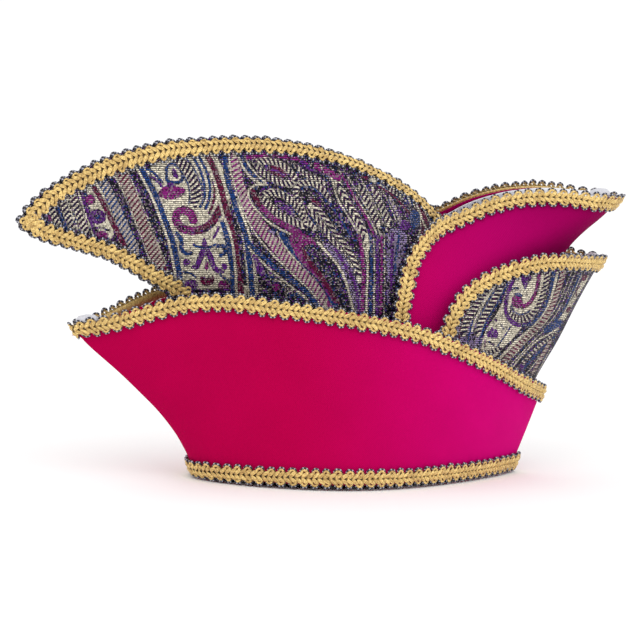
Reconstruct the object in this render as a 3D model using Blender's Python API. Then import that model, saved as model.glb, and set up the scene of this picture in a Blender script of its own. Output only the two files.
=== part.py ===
"""Boat shaped mini hat: a brocade crest with a front beak, two open wings
behind it, a lower band round the opening, and gimp braid on every edge.

Frame: metres, +Z up, the beak points to -X, the wings point to +X, the hem lies
on Z = 0 and the origin is under the middle of the hat's box. The outlines below
are measured along X from the middle of the head opening.
"""
import bmesh
import bpy
import numpy as np

# ------------------------------------------------------------------ sizes
total_length = 0.2024          # beak tip to wing tip, along X
total_height = 0.1082          # hem to the top of the crest, along Z
base_half_width = 0.0297       # half width of the crown at the hem
tent_height = 0.150            # height at which the leaning sides would meet

fabric_wall = 0.0013           # each cloth layer with its stiffening
lining_wall = 0.0010           # white inner cloth
layer_gap = 0.0004             # clearance between cloth layers
seam_inset = 0.0026            # hollow side of a closed seam, in from the fold
hem_flare_height = 0.015       # the crown spreads to meet the band below this

braid_width = 0.0064           # gimp braid over both rows of scallops
braid_overhang = 0.0017        # part of the braid that stands past the edge
braid_thickness = 0.0012
braid_gap = 0.0004             # clearance between braid and cloth

pink_lining_run = 0.05840      # white lining of the pink wing, forward of its tip
pink_lining_drop = 0.0200      # and down from its top edge
brocade_lining_run = 0.01558   # the same two for the brocade wing
brocade_lining_drop = 0.0120
prow_lining_run = 0.03116      # and for the prow of the band
prow_lining_drop = 0.0161
pink_braid_foot = 0.0509       # height at which the wing braids start
brocade_braid_foot = 0.0465

pink_offset = 0.0020           # each outer layer stands proud of the crest
brocade_offset = 0.0040
band_offset = 0.0073
lining_gap = 0.0007
lining_depth = fabric_wall + lining_gap

bow_run_low = 0.060            # length over which the bow fills out, at the hem
bow_run_high = 0.105           # and at the top edge of the band
bow_sharp_low = 0.62           # 0.5 is a round end, 1 is a pointed end
bow_sharp_high = 1.25
crest_bow_run = 0.090          # the same two at the front of the crest
crest_bow_sharp = 0.85
crown_rear_run = 0.024         # the crown closes quickly behind the crest
ridge_run = 0.020              # the crest pinches together this far below its ridge
fullness_height = 0.050        # above this height the bow keeps one sharpness
least_half_width = 0.0002      # keeps the two sides apart beside a closed seam

# ---------------------------------------------------------------- outlines
# Stern of every layer as (share of total height, run as a share of total length,
# sharpness): pointed at the middle, rounder at the hem and at the wing tip.
stern_shape = ((0.00, 0.430, 0.92), (0.23, 0.326, 0.85), (0.46, 0.287, 0.92),
               (0.62, 0.200, 0.72), (0.81, 0.095, 0.52))
# How far the top edge of the pink wing keeps its full width, as (share of total
# length, share of width): it leans in against the crest and opens toward the tip.
pink_lean = ((0.035, 1.00), (0.055, 0.97), (0.069, 0.90), (0.079, 0.80), (0.089, 0.69),
             (0.099, 0.60), (0.119, 0.50), (0.138, 0.49), (0.178, 0.53), (0.217, 0.56),
             (0.237, 0.59), (0.277, 0.69), (0.316, 0.84), (0.356, 1.00))
lean_depth = 0.025             # the lean fades out this far below the top edge

# Side view outlines as (share of total length along X, share of total height).
bow_line = ((-0.262, 0.000), (-0.273, 0.047), (-0.298, 0.125), (-0.330, 0.197),
            (-0.394, 0.307), (-0.450, 0.392), (-0.466, 0.420), (-0.474, 0.449))
band_stern_line = ((0.260, 0.000), (0.267, 0.045), (0.284, 0.124), (0.301, 0.206),
                   (0.307, 0.244))
band_rake_line = ((0.341, 0.385), (0.368, 0.487))   # rake above the stern corner
band_edge_line = ((-0.474, 0.449), (-0.413, 0.474), (-0.374, 0.501), (-0.335, 0.524),
                  (-0.305, 0.538), (-0.272, 0.542), (-0.241, 0.540), (-0.210, 0.534),
                  (-0.175, 0.524), (-0.140, 0.517), (-0.107, 0.508), (-0.073, 0.499),
                  (-0.039, 0.487), (-0.006, 0.476), (0.022, 0.465), (0.046, 0.451),
                  (0.072, 0.434), (0.116, 0.402), (0.174, 0.356), (0.241, 0.294),
                  (0.307, 0.244))
hidden_seam_line = ((-0.245, 0.018), (-0.270, 0.185), (-0.292, 0.370), (-0.318, 0.510))
beak_line = ((-0.326, 0.545), (-0.362, 0.578), (-0.386, 0.605), (-0.415, 0.634),
             (-0.447, 0.655), (-0.482, 0.671), (-0.516, 0.687), (-0.550, 0.708),
             (-0.568, 0.739))
ridge_line = ((-0.568, 0.739), (-0.561, 0.779), (-0.536, 0.824), (-0.505, 0.863),
              (-0.471, 0.894), (-0.439, 0.920), (-0.405, 0.943), (-0.371, 0.958),
              (-0.337, 0.972), (-0.301, 0.977), (-0.267, 0.981), (-0.230, 0.984),
              (-0.200, 0.984), (-0.167, 0.980), (-0.132, 0.972), (-0.102, 0.962),
              (-0.070, 0.947), (-0.038, 0.931), (-0.011, 0.913), (0.017, 0.888),
              (0.045, 0.863), (0.069, 0.839), (0.094, 0.804), (0.105, 0.788),
              (0.127, 0.744))
crown_rear_line = ((0.245, 0.018), (0.243, 0.120), (0.232, 0.220), (0.218, 0.330),
                   (0.203, 0.440), (0.185, 0.550), (0.160, 0.665), (0.127, 0.744))
hollow_front_line = ((-0.232, 0.018), (-0.284, 0.370), (-0.304, 0.520), (-0.346, 0.610),
                     (-0.395, 0.684), (-0.415, 0.740), (-0.415, 0.813))
pink_front_line = ((0.010, 0.370), (0.013, 0.493), (0.017, 0.522), (0.021, 0.549),
                   (0.025, 0.590), (0.032, 0.630), (0.041, 0.664), (0.053, 0.694),
                   (0.069, 0.720))
pink_top_line = ((0.069, 0.720), (0.091, 0.735), (0.117, 0.748), (0.139, 0.759),
                 (0.164, 0.780), (0.186, 0.798), (0.213, 0.811), (0.252, 0.824),
                 (0.293, 0.827), (0.336, 0.824), (0.381, 0.815), (0.424, 0.807))
pink_stern_line = ((0.289, 0.425), (0.309, 0.536), (0.334, 0.638), (0.356, 0.687),
                   (0.385, 0.733), (0.402, 0.755), (0.424, 0.807))
brocade_front_line = ((0.079, 0.310), (0.085, 0.446), (0.094, 0.487), (0.106, 0.522),
                      (0.126, 0.564))
brocade_top_line = ((0.126, 0.564), (0.155, 0.596), (0.186, 0.619), (0.226, 0.641),
                    (0.269, 0.652), (0.316, 0.648), (0.367, 0.637), (0.402, 0.625))
brocade_stern_line = ((0.262, 0.150), (0.282, 0.217), (0.300, 0.287), (0.333, 0.385),
                      (0.360, 0.487), (0.386, 0.574), (0.402, 0.625))


def outline(shares):
    line = np.array(shares, float)
    return line * np.array((total_length, total_height))


def resample(line, steps):
    # steps run from 0 to 1 along the length of the line
    leg = np.hypot(*np.diff(line, axis=0).T)
    along = np.concatenate(([0.0], np.cumsum(leg))) / leg.sum()
    return np.stack([np.interp(steps, along, line[:, axis]) for axis in (0, 1)], 1)


def smooth(value):
    t = np.clip(value, 0.0, 1.0)
    return t * t * (3.0 - 2.0 * t)


def fill_out(value):
    # 0 at a closed seam and 1 once the layer has its full width
    t = np.clip(value, 0.0, 1.0)
    return 1.0 - (1.0 - t) ** 2


# ------------------------------------------------------------------ layers
def make_layer(offset, front, rear, ridge=None, lean_top=None):
    return {"offset": offset, "front": outline(front), "rear": outline(rear),
            "ridge": None if ridge is None else outline(ridge),
            "lean_top": None if lean_top is None else outline(lean_top)}


crest_layer = make_layer(0.0, hidden_seam_line + beak_line, crown_rear_line, ridge_line)
pink_layer = make_layer(pink_offset, bow_line, pink_stern_line, None,
                        pink_front_line + pink_top_line[1:])
brocade_layer = make_layer(brocade_offset, bow_line, brocade_stern_line)
band_layer = make_layer(band_offset, bow_line, band_stern_line + band_rake_line)


def half_width(layer, x, z, depth=0.0):
    # Half width of a layer at (x, z); depth is how far inside its outer face.
    inset = depth * seam_inset / fabric_wall
    level = smooth(z / fullness_height)
    width = base_half_width * (1.0 - z / tent_height) + layer["offset"]
    if layer["ridge"] is not None:
        low = np.clip(1.0 - z / hem_flare_height, 0.0, 1.0)
        spread = band_offset - fabric_wall - layer_gap
        width = width + spread * low ** 2
        lean = smooth((x + 0.47 * total_length) / (0.45 * total_length))
        raised = smooth((z - 0.18 * total_height) / (0.37 * total_height))
        width = width * (1.0 - 0.70 * (1.0 - lean) * raised)
    width = np.maximum(width - depth, 0.0)
    front = np.interp(z, layer["front"][:, 1], layer["front"][:, 0]) + inset
    rear = np.interp(z, layer["rear"][:, 1], layer["rear"][:, 0]) - inset
    run_high, sharp_high = bow_run_high, bow_sharp_high
    if layer["ridge"] is not None:
        run_high, sharp_high = crest_bow_run, crest_bow_sharp
    bow_run = bow_run_low + (run_high - bow_run_low) * level
    height, run, sharp = np.array(stern_shape).T
    stern_run = np.interp(z, height * total_height, run * total_length)
    stern_sharp = np.interp(z, height * total_height, sharp)
    if layer["ridge"] is not None:
        upper = smooth((z - 0.42 * total_height) / (0.23 * total_height))
        stern_run = stern_run + (crown_rear_run - stern_run) * upper
    bow_sharp = bow_sharp_low + (sharp_high - bow_sharp_low) * level
    width = width * fill_out((x - front) / bow_run) ** bow_sharp
    width = width * fill_out((rear - x) / stern_run) ** stern_sharp
    if layer["ridge"] is not None:
        crest = np.interp(x, layer["ridge"][:, 0], layer["ridge"][:, 1]) - inset
        width = width * fill_out((crest - z) / ridge_run) ** 0.85
    if layer["lean_top"] is not None:
        top = np.interp(x, layer["lean_top"][:, 0], layer["lean_top"][:, 1])
        place, kept = np.array(pink_lean).T
        share = np.interp(x, place * total_length, kept)
        width = width * (share + (1.0 - share) * fill_out((top - z) / lean_depth))
    return width


def coons(bottom, top, front, rear, across, up):
    # Grid of (x, z) points inside four outline curves.
    low = resample(bottom, across)[None, :, :]
    high = resample(top, across)[None, :, :]
    left = resample(front, up)[:, None, :]
    right = resample(rear, up)[:, None, :]
    s = across[None, :, None]
    v = up[:, None, None]
    corners = ((1 - s) * (1 - v) * bottom[0] + s * (1 - v) * bottom[-1]
               + (1 - s) * v * top[0] + s * v * top[-1])
    return (1 - v) * low + v * high + (1 - s) * left + s * right - corners


def near_side(layer, sides, across, up, depth, closed, taper=False):
    grid = coons(*sides, across, up)
    width = half_width(layer, grid[..., 0], grid[..., 1], depth)
    if taper:
        width = width * fill_out(across / 0.12)[None, :] * fill_out((1 - up) / 0.2)[:, None]
    width = np.maximum(width, least_half_width)
    if "front" in closed:
        width[:, 0] = 0.0
    if "rear" in closed:
        width[:, -1] = 0.0
    if "top" in closed:
        width[-1, :] = 0.0
    return np.stack([grid[..., 0], -width, grid[..., 1]], -1)


def shift_ends(line, front_shift, rear_shift):
    # Moves the two ends of an outline along X and spreads the move between them.
    share = (line[:, 0] - line[0, 0]) / (line[-1, 0] - line[0, 0])
    moved = line.copy()
    moved[:, 0] += front_shift * (1.0 - share) + rear_shift * share
    return moved


# ------------------------------------------------------------------ meshes
def clear_scene():
    for item in list(bpy.data.objects):
        bpy.data.objects.remove(item, do_unlink=True)


def make_material(name, color, roughness, sheen=0.0):
    material = bpy.data.materials.new(name)
    material.use_nodes = True
    shader = material.node_tree.nodes["Principled BSDF"]
    shader.inputs["Base Color"].default_value = (*color, 1.0)
    shader.inputs["Roughness"].default_value = roughness
    shader.inputs["Sheen Weight"].default_value = sheen
    return material


def add_object(name, points, faces, material):
    mesh = bpy.data.meshes.new(name)
    mesh.from_pydata([tuple(p) for p in points], [], faces)
    solid = bmesh.new()
    solid.from_mesh(mesh)
    bmesh.ops.remove_doubles(solid, verts=solid.verts, dist=2e-6)
    bmesh.ops.recalc_face_normals(solid, faces=solid.faces)
    solid.to_mesh(mesh)
    solid.free()
    mesh.materials.append(material)
    item = bpy.data.objects.new(name, mesh)
    bpy.context.scene.collection.objects.link(item)
    return item


def make_shell(name, outer, inner, open_sides, material):
    # outer and inner are near side grids; the far side is their mirror image
    rows, columns = outer.shape[:2]
    count = rows * columns
    mirror = np.array((1.0, -1.0, 1.0))
    points = np.concatenate([g.reshape(-1, 3) for g in
                             (outer, inner, outer * mirror, inner * mirror)])
    index = np.arange(count).reshape(rows, columns)
    sides = {"bottom": index[0, :], "top": index[-1, :],
             "front": index[:, 0], "rear": index[:, -1]}
    faces = []
    for base in range(4):
        grid = index + base * count
        quads = np.stack([grid[:-1, :-1], grid[:-1, 1:], grid[1:, 1:], grid[1:, :-1]], -1)
        faces += quads.reshape(-1, 4).tolist()
    for side in open_sides:
        for base in (0, 2):
            out = sides[side] + base * count
            inn = sides[side] + (base + 1) * count
            faces += np.stack([out[:-1], out[1:], inn[1:], inn[:-1]], -1).tolist()
    return add_object(name, points, faces, material)


def make_braid(name, low, high, closed, material):
    # low and high are the cloth side and the outer side of the braid, each a grid
    # of stations by points across
    stations, points = low.shape[:2]
    ring = np.concatenate([low, high[:, ::-1]], axis=1)
    around = points * 2
    index = np.arange(stations * around).reshape(stations, around)
    following = np.roll(index, -1, axis=0) if closed else index[1:]
    current = index if closed else index[:-1]
    faces = []
    for corner in range(around):
        after = (corner + 1) % around
        faces += np.stack([current[:, corner], current[:, after],
                           following[:, after], following[:, corner]], -1).tolist()
    if not closed:
        for end, step in ((0, 1), (-1, -1)):
            faces += [[int(index[end, k]), int(index[end, k + 1]),
                       int(index[end, around - 2 - k]), int(index[end, around - 1 - k])][::step]
                      for k in range(points - 1)]
    return add_object(name, ring.reshape(-1, 3), faces, material)


# ------------------------------------------------------------ braid frames
flip = np.array((1.0, -1.0, 1.0))


def unit(vectors):
    return vectors / np.linalg.norm(vectors, axis=-1, keepdims=True)


def surface(layer, points):
    width = half_width(layer, points[:, 0], points[:, 1])
    return np.stack([points[:, 0], -width, points[:, 1]], 1)


def edge_frame(layer, line, free_side, seams):
    # Near side frame along an outline edge. free_side is +1 when the free side of
    # the edge lies to the left of travel in the side view, -1 to the right. seams
    # gives for an end of the line the direction of the closed seam, into the cloth.
    travel = unit(np.gradient(line, axis=0))
    inward = np.stack([travel[:, 1], -travel[:, 0]], 1) * free_side
    leg = np.concatenate(([0.0], np.cumsum(np.hypot(*np.diff(line, axis=0).T))))
    for end, direction in seams.items():
        away = leg if end == 0 else leg[-1] - leg
        share = np.clip(1.0 - away / (2.0 * braid_width), 0.0, 1.0)[:, None]
        inward = unit(inward * (1.0 - share) + unit(np.array(direction)) * share)
    reach = braid_width - braid_overhang
    edge = surface(layer, line)
    step = np.full(len(line), reach)
    for _ in range(3):
        inside = surface(layer, line + inward * step[:, None])
        step = step * reach / np.linalg.norm(inside - edge, axis=1)
    across = unit(edge - inside)
    tangent = unit(np.gradient(edge, axis=0))
    outward = unit(np.cross(tangent, across))
    outward = outward * np.where(outward[:, 1:2] > 0, -1.0, 1.0)
    middle = surface(layer, line + inward * step[:, None] * 0.5)
    bulge = np.sum((middle - (edge + inside) * 0.5) * outward, axis=1)
    lift = 1.6 * np.maximum(bulge, 0.0)
    lift = np.maximum(lift, 0.5 * (np.roll(lift, 1) + np.roll(lift, -1)))
    for end, direction in seams.items():
        beside = 1 if end == 0 else -2
        down = unit(np.array(direction))
        edge[end, 1] = 0.0
        across[end] = (-down[0], 0.0, -down[1])
        turned = outward[beside] - across[end] * np.sum(outward[beside] * across[end])
        outward[end] = unit(turned)
        lift[end] = lift[beside]
    return [edge, across, outward, lift]


def mirrored(frame):
    edge, across, outward, lift = frame
    return [edge[::-1] * flip, across[::-1] * flip, outward[::-1] * flip, lift[::-1]]


def seam_turn(frame, end):
    # Stations that swing the braid round a closed seam, near side to far side.
    edge, across, outward, lift = frame
    ahead = np.array((across[end][2], 0.0, -across[end][0]))
    ahead = ahead * (np.sign(ahead[0]) * (-1.0 if end == 0 else 1.0))
    sides = [outward[end], ahead, outward[end] * flip]
    if end == 0:
        sides = sides[::-1]
    turned = np.array([unit(sides[0] + sides[1]), sides[1], unit(sides[1] + sides[2])])
    spread = np.ones((3, 1))
    return [edge[end] * spread, across[end] * spread, turned, lift[end] * spread[:, 0]]


def join(frames):
    return [np.concatenate(parts) for parts in zip(*frames)]


def flat_profile(frame):
    # Cloth side and outer side of a braid that lies flat over an edge.
    edge, across, outward, lift = frame
    inside = edge - across * (braid_width - braid_overhang)
    outside = edge + across * braid_overhang
    low = np.stack([inside, outside], 1) + (outward * (braid_gap + lift)[:, None])[:, None]
    return low, low + outward[:, None] * braid_thickness


# ------------------------------------------------------------------ pieces
def build_crest(material):
    across = 0.5 - 0.5 * np.cos(np.pi * np.linspace(0, 1, 25))
    up = np.sin(0.5 * np.pi * np.linspace(0, 1, 15))
    front = outline(hidden_seam_line + beak_line)
    rear = outline(crown_rear_line)
    top = outline(ridge_line)
    bottom = np.array((front[0], rear[0]))
    outer = near_side(crest_layer, (bottom, top, front, rear), across, up, 0.0,
                      ("front", "rear", "top"))
    hollow_front = outline(hollow_front_line)
    hollow_rear = shift_ends(rear[::-1], 0.0, 0.0)[::-1].copy()
    hollow_rear[:, 0] -= seam_inset
    hollow_rear[-1, 1] -= seam_inset
    ridge = outline(ridge_line)
    inside = ridge[(ridge[:, 0] > hollow_front[-1, 0] + 0.006)
                   & (ridge[:, 0] < hollow_rear[-1, 0] - 0.002)].copy()
    inside[:, 1] -= 1.4 * seam_inset
    hollow_top = np.concatenate([hollow_front[-1:], inside, hollow_rear[-1:]])
    hollow_bottom = np.array((hollow_front[0], hollow_rear[0]))
    inner = near_side(crest_layer, (hollow_bottom, hollow_top, hollow_front, hollow_rear),
                      across, up, fabric_wall, ("front", "rear", "top"), True)
    return make_shell("crest_shell", outer, inner, ("bottom",), material)


def build_band(material):
    across = 0.5 - 0.5 * np.cos(np.pi * np.linspace(0, 1, 29))
    up = np.linspace(0, 1, 8)
    front = outline(bow_line)
    rear = outline(band_stern_line)
    top = outline(band_edge_line)
    bottom = np.array((front[0], rear[0]))
    outer = near_side(band_layer, (bottom, top, front, rear), across, up, 0.0,
                      ("front", "rear"))
    front_in = front + np.array((seam_inset, 0.0))
    rear_in = rear - np.array((seam_inset, 0.0))
    top_in = shift_ends(top, seam_inset, -seam_inset)
    bottom_in = np.array((front_in[0], rear_in[0]))
    inner = near_side(band_layer, (bottom_in, top_in, front_in, rear_in), across, up,
                      fabric_wall, ("front", "rear"))
    return make_shell("lower_band", outer, inner, ("bottom", "top"), material)


def build_wing(name, layer, front_line, top_line, stern_line, depth, wall, material,
               columns=15, rows=10):
    even = np.linspace(0, 1, columns)
    across = 0.7 * even + 0.3 * np.sin(0.5 * np.pi * even)
    up = np.linspace(0, 1, rows)
    grids = []
    for reach in (depth, depth + wall):
        inset = reach * seam_inset / fabric_wall
        front = front_line.copy()
        rear = stern_line - np.array((inset, 0.0))
        top = shift_ends(top_line, 0.0, -inset)
        bottom = np.array((front[0], rear[0]))
        grids.append(near_side(layer, (bottom, top, front, rear), across, up, reach,
                               ("rear",)))
    return make_shell(name, grids[0], grids[1], ("bottom", "top", "front"), material)


def cut_line(line, low, high):
    # Part of an outline between two X values, with both ends added.
    ends = np.array([[x, np.interp(x, line[:, 0], line[:, 1])] for x in (low, high)])
    keep = line[(line[:, 0] > low + 1e-4) & (line[:, 0] < high - 1e-4)]
    return np.concatenate([ends[:1], keep, ends[1:]])


def build_wing_lining(name, layer, top_line, stern_line, run, drop, material):
    tip = outline(top_line)[-1, 0]
    top = cut_line(outline(top_line), tip - run, tip)
    top[:, 1] -= layer_gap
    stern = outline(stern_line)
    foot = top[-1, 1] - drop
    keep = stern[(stern[:, 1] > foot + 1e-4)]
    foot_point = np.array([[np.interp(foot, stern[:, 1], stern[:, 0]), foot]])
    stern = np.concatenate([foot_point, keep])
    stern[-1] = top[-1]
    front = np.array(((top[0, 0], top[0, 1] - drop), (top[0, 0], top[0, 1])))
    return build_wing(name, layer, front, top, stern, lining_depth, lining_wall, material,
                      12, 5)


def build_prow_lining(material):
    bow = outline(bow_line)
    foot = bow[-1, 1] - prow_lining_drop
    end = bow[-1, 0] + prow_lining_run
    keep = bow[bow[:, 1] > foot + 1e-4]
    front = np.concatenate([[[np.interp(foot, bow[:, 1], bow[:, 0]), foot]], keep])
    top = cut_line(outline(band_edge_line), bow[-1, 0], end)
    top[:, 1] -= layer_gap
    front[-1] = top[0]
    rear = np.array(((end, foot), (end, top[-1, 1])))
    across = np.linspace(0, 1, 8) ** 1.5
    up = np.linspace(0, 1, 5)
    grids = []
    for reach in (lining_depth, lining_depth + lining_wall):
        inset = reach * seam_inset / fabric_wall
        front_in = front + np.array((inset, 0.0))
        top_in = shift_ends(top, inset, 0.0)
        bottom = np.array((front_in[0], rear[0]))
        grids.append(near_side(band_layer, (bottom, top_in, front_in, rear), across, up,
                               reach, ("front",)))
    return make_shell("lower_band_lining", grids[0], grids[1], ("bottom", "top", "rear"),
                      material)


def seam_direction(line, height, rising):
    # Unit direction along a closed seam from a height, up or down the seam.
    reach = braid_width - braid_overhang
    far = height + (reach if rising else -reach)
    start = np.interp(height, line[:, 1], line[:, 0])
    finish = np.interp(far, line[:, 1], line[:, 0])
    return finish - start, far - height


def build_hem_braid(material):
    height = braid_overhang
    bow = outline(bow_line)
    stern = outline(band_stern_line)
    ends = np.array([[np.interp(height, line[:, 1], line[:, 0]), height]
                     for line in (bow, stern)])
    steps = 0.5 - 0.5 * np.cos(np.pi * np.linspace(0.0, 1.0, 33))
    near = edge_frame(band_layer, resample(ends, steps), -1.0,
                      {0: seam_direction(bow, height, True),
                       -1: seam_direction(stern, height, True)})
    frame = join([near, seam_turn(near, -1), mirrored(near), seam_turn(near, 0)])
    low, high = flat_profile(frame)
    low[:, 1, 2] = 0.0
    high[:, 1, 2] = 0.0
    return make_braid("hem_braid", low, high, True, material)


def build_band_braid(material):
    bow = outline(bow_line)
    stern = outline(band_stern_line)
    steps = 0.5 - 0.5 * np.cos(np.pi * np.linspace(0.0, 1.0, 33))
    near = edge_frame(band_layer, resample(outline(band_edge_line), steps), 1.0,
                      {0: seam_direction(bow, bow[-1, 1], False),
                       -1: seam_direction(stern, stern[-1, 1], False)})
    frame = join([near, seam_turn(near, -1), mirrored(near), seam_turn(near, 0)])
    low, high = flat_profile(frame)
    return make_braid("band_braid", low, high, True, material)


def build_crest_braid(name, side, material):
    ridge = resample(outline(ridge_line), np.linspace(0, 1, 30))[::-1]
    beak = resample(outline(beak_line), np.linspace(0, 1, 14))[::-1]
    top = edge_frame(crest_layer, ridge, -1.0, {})
    low = edge_frame(crest_layer, beak, -1.0, {})
    edge, across, outward, lift = [np.concatenate([a[:-1], b[1:]])
                                   for a, b in zip(top, low)]
    edge[:, 1] = 0.0
    beside = np.array((0.0, -1.0, 0.0)) * np.ones_like(edge)
    flat = unit(across * np.array((1.0, 0.0, 1.0)))
    clear = (braid_gap + lift)[:, None]
    inside = edge - across * (braid_width - braid_overhang)
    low_side = np.stack([inside + outward * clear, edge + beside * clear,
                         edge + flat * braid_overhang + beside * clear], 1)
    rise = np.stack([outward, unit(outward + beside), beside], 1) * braid_thickness
    turn = np.array((1.0, side, 1.0))
    return make_braid(name, low_side * turn, (low_side + rise) * turn, False, material)


def build_wing_braid(name, layer, front_line, top_line, stern_line, foot, material, count):
    line = np.concatenate([outline(front_line), outline(top_line)[1:]])
    line = line[line[:, 1] >= foot]
    stern = outline(stern_line)
    steps = np.linspace(0, 1, count)
    path = resample(line, np.sin(0.5 * np.pi * steps) * 0.4 + steps * 0.6)
    near = edge_frame(layer, path, 1.0, {-1: seam_direction(stern, stern[-1, 1], False)})
    low, high = flat_profile(join([near, seam_turn(near, -1), mirrored(near)]))
    return make_braid(name, low, high, False, material)


def centre_on_floor():
    # Moves the whole hat so that the middle of its box stands on the origin.
    items = list(bpy.data.objects)
    places = [np.array([v.co[:] for v in item.data.vertices]) for item in items]
    every = np.concatenate(places)
    low, high = every.min(axis=0), every.max(axis=0)
    middle = np.array((0.5 * (low[0] + high[0]), 0.0, low[2]))
    for item, place in zip(items, places):
        item.data.vertices.foreach_set("co", (place - middle).ravel())
        item.data.update()
    return middle


def main():
    clear_scene()
    brocade = make_material("brocade", (0.10, 0.07, 0.14), 0.45, 0.3)
    magenta = make_material("magenta_twill", (0.60, 0.01, 0.12), 0.75, 0.4)
    white = make_material("white_lining", (0.85, 0.85, 0.86), 0.85)
    gold = make_material("gold_braid", (0.75, 0.55, 0.20), 0.45)

    build_crest(brocade)
    build_band(magenta)
    build_wing("pink_wing", pink_layer, outline(pink_front_line), outline(pink_top_line),
               outline(pink_stern_line), 0.0, fabric_wall, magenta, 21, 10)
    build_wing("brocade_wing", brocade_layer, outline(brocade_front_line),
               outline(brocade_top_line), outline(brocade_stern_line), 0.0, fabric_wall,
               brocade)
    build_wing_lining("pink_wing_lining", pink_layer, pink_top_line, pink_stern_line,
                      pink_lining_run, pink_lining_drop, white)
    build_wing_lining("brocade_wing_lining", brocade_layer, brocade_top_line,
                      brocade_stern_line, brocade_lining_run, brocade_lining_drop, white)
    build_prow_lining(white)
    build_hem_braid(gold)
    build_band_braid(gold)
    build_crest_braid("crest_braid_right", 1.0, gold)
    build_crest_braid("crest_braid_left", -1.0, gold)
    build_wing_braid("pink_wing_braid", pink_layer, pink_front_line, pink_top_line,
                     pink_stern_line, pink_braid_foot, gold, 34)
    build_wing_braid("brocade_wing_braid", brocade_layer, brocade_front_line,
                     brocade_top_line, brocade_stern_line, brocade_braid_foot, gold, 26)
    centre_on_floor()


main()
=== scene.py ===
import math
import bmesh
import bpy
import mathutils
import numpy as np
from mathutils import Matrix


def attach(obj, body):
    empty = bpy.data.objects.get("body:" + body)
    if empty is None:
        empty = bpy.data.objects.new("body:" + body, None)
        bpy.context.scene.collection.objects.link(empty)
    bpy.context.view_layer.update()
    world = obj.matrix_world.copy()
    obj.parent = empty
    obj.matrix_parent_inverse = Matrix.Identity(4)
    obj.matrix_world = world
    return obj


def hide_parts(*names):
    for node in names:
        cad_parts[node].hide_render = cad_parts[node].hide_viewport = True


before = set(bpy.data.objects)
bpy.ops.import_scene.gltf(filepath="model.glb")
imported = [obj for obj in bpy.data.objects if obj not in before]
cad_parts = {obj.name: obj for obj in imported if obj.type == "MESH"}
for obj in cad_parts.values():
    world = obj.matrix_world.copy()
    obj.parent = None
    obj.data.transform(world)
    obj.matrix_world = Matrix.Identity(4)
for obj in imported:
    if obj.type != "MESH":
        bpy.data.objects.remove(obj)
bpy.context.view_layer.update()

print("stage: frame loaded")

# Sizes of the whole hat in metres, as in the CAD part; shift moves X to the box's middle.
hat = {"length": 0.2024, "height": 0.1082, "baseHalf": 0.0297, "tent": 0.150, "shift": 0.0135,
       "wall": 0.0013, "liningWall": 0.0010, "seamInset": 0.0026, "layerGap": 0.0004,
       "liningDepth": 0.0020, "flareHeight": 0.015, "bandOffset": 0.0073,
       "brocadeOffset": 0.0040, "pinkOffset": 0.0020, "bowRun": (0.060, 0.105),
       "bowSharp": (0.62, 1.25), "crestBow": (0.090, 0.85), "fullness": 0.050,
       "crownRearRun": 0.024, "ridgeRun": 0.020, "leastHalf": 0.0002, "leanDepth": 0.025}

sternShape = ((0.00, 0.430, 0.92), (0.23, 0.326, 0.85), (0.46, 0.287, 0.92),
              (0.62, 0.200, 0.72), (0.81, 0.095, 0.52))
pinkLean = ((0.035, 1.00), (0.055, 0.97), (0.069, 0.90), (0.079, 0.80), (0.089, 0.69),
            (0.099, 0.60), (0.119, 0.50), (0.138, 0.49), (0.178, 0.53), (0.217, 0.56),
            (0.237, 0.59), (0.277, 0.69), (0.316, 0.84), (0.356, 1.00))

# Side view outlines as (share of length, share of height).
bowLine = ((-0.262, 0.000), (-0.273, 0.047), (-0.298, 0.125), (-0.330, 0.197), (-0.394, 0.307),
           (-0.450, 0.392), (-0.466, 0.420), (-0.474, 0.449))
bandSternLine = ((0.260, 0.000), (0.267, 0.045), (0.284, 0.124), (0.301, 0.206), (0.307, 0.244))
bandRakeLine = ((0.341, 0.385), (0.368, 0.487))
bandEdgeLine = ((-0.474, 0.449), (-0.413, 0.474), (-0.374, 0.501), (-0.335, 0.524),
                (-0.305, 0.538), (-0.272, 0.542), (-0.241, 0.540), (-0.210, 0.534),
                (-0.175, 0.524), (-0.140, 0.517), (-0.107, 0.508), (-0.073, 0.499),
                (-0.039, 0.487), (-0.006, 0.476), (0.022, 0.465), (0.046, 0.451),
                (0.072, 0.434), (0.116, 0.402), (0.174, 0.356), (0.241, 0.294), (0.307, 0.244))
hiddenSeamLine = ((-0.245, 0.018), (-0.270, 0.185), (-0.292, 0.370), (-0.318, 0.510))
beakLine = ((-0.326, 0.545), (-0.362, 0.578), (-0.386, 0.605), (-0.415, 0.634), (-0.447, 0.655),
            (-0.482, 0.671), (-0.516, 0.687), (-0.550, 0.708), (-0.568, 0.739))
ridgeLine = ((-0.568, 0.739), (-0.561, 0.779), (-0.536, 0.824), (-0.505, 0.863),
             (-0.471, 0.894), (-0.439, 0.920), (-0.405, 0.943), (-0.371, 0.958),
             (-0.337, 0.972), (-0.301, 0.977), (-0.267, 0.981), (-0.230, 0.984),
             (-0.200, 0.984), (-0.167, 0.980), (-0.132, 0.972), (-0.102, 0.962),
             (-0.070, 0.947), (-0.038, 0.931), (-0.011, 0.913), (0.017, 0.888), (0.045, 0.863),
             (0.069, 0.839), (0.094, 0.804), (0.105, 0.788), (0.127, 0.744))
crownRearLine = ((0.245, 0.018), (0.243, 0.120), (0.232, 0.220), (0.218, 0.330), (0.203, 0.440),
                 (0.185, 0.550), (0.160, 0.665), (0.127, 0.744))
hollowFrontLine = ((-0.232, 0.018), (-0.284, 0.370), (-0.304, 0.520), (-0.346, 0.610),
                   (-0.395, 0.684), (-0.415, 0.740), (-0.415, 0.813))
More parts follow.
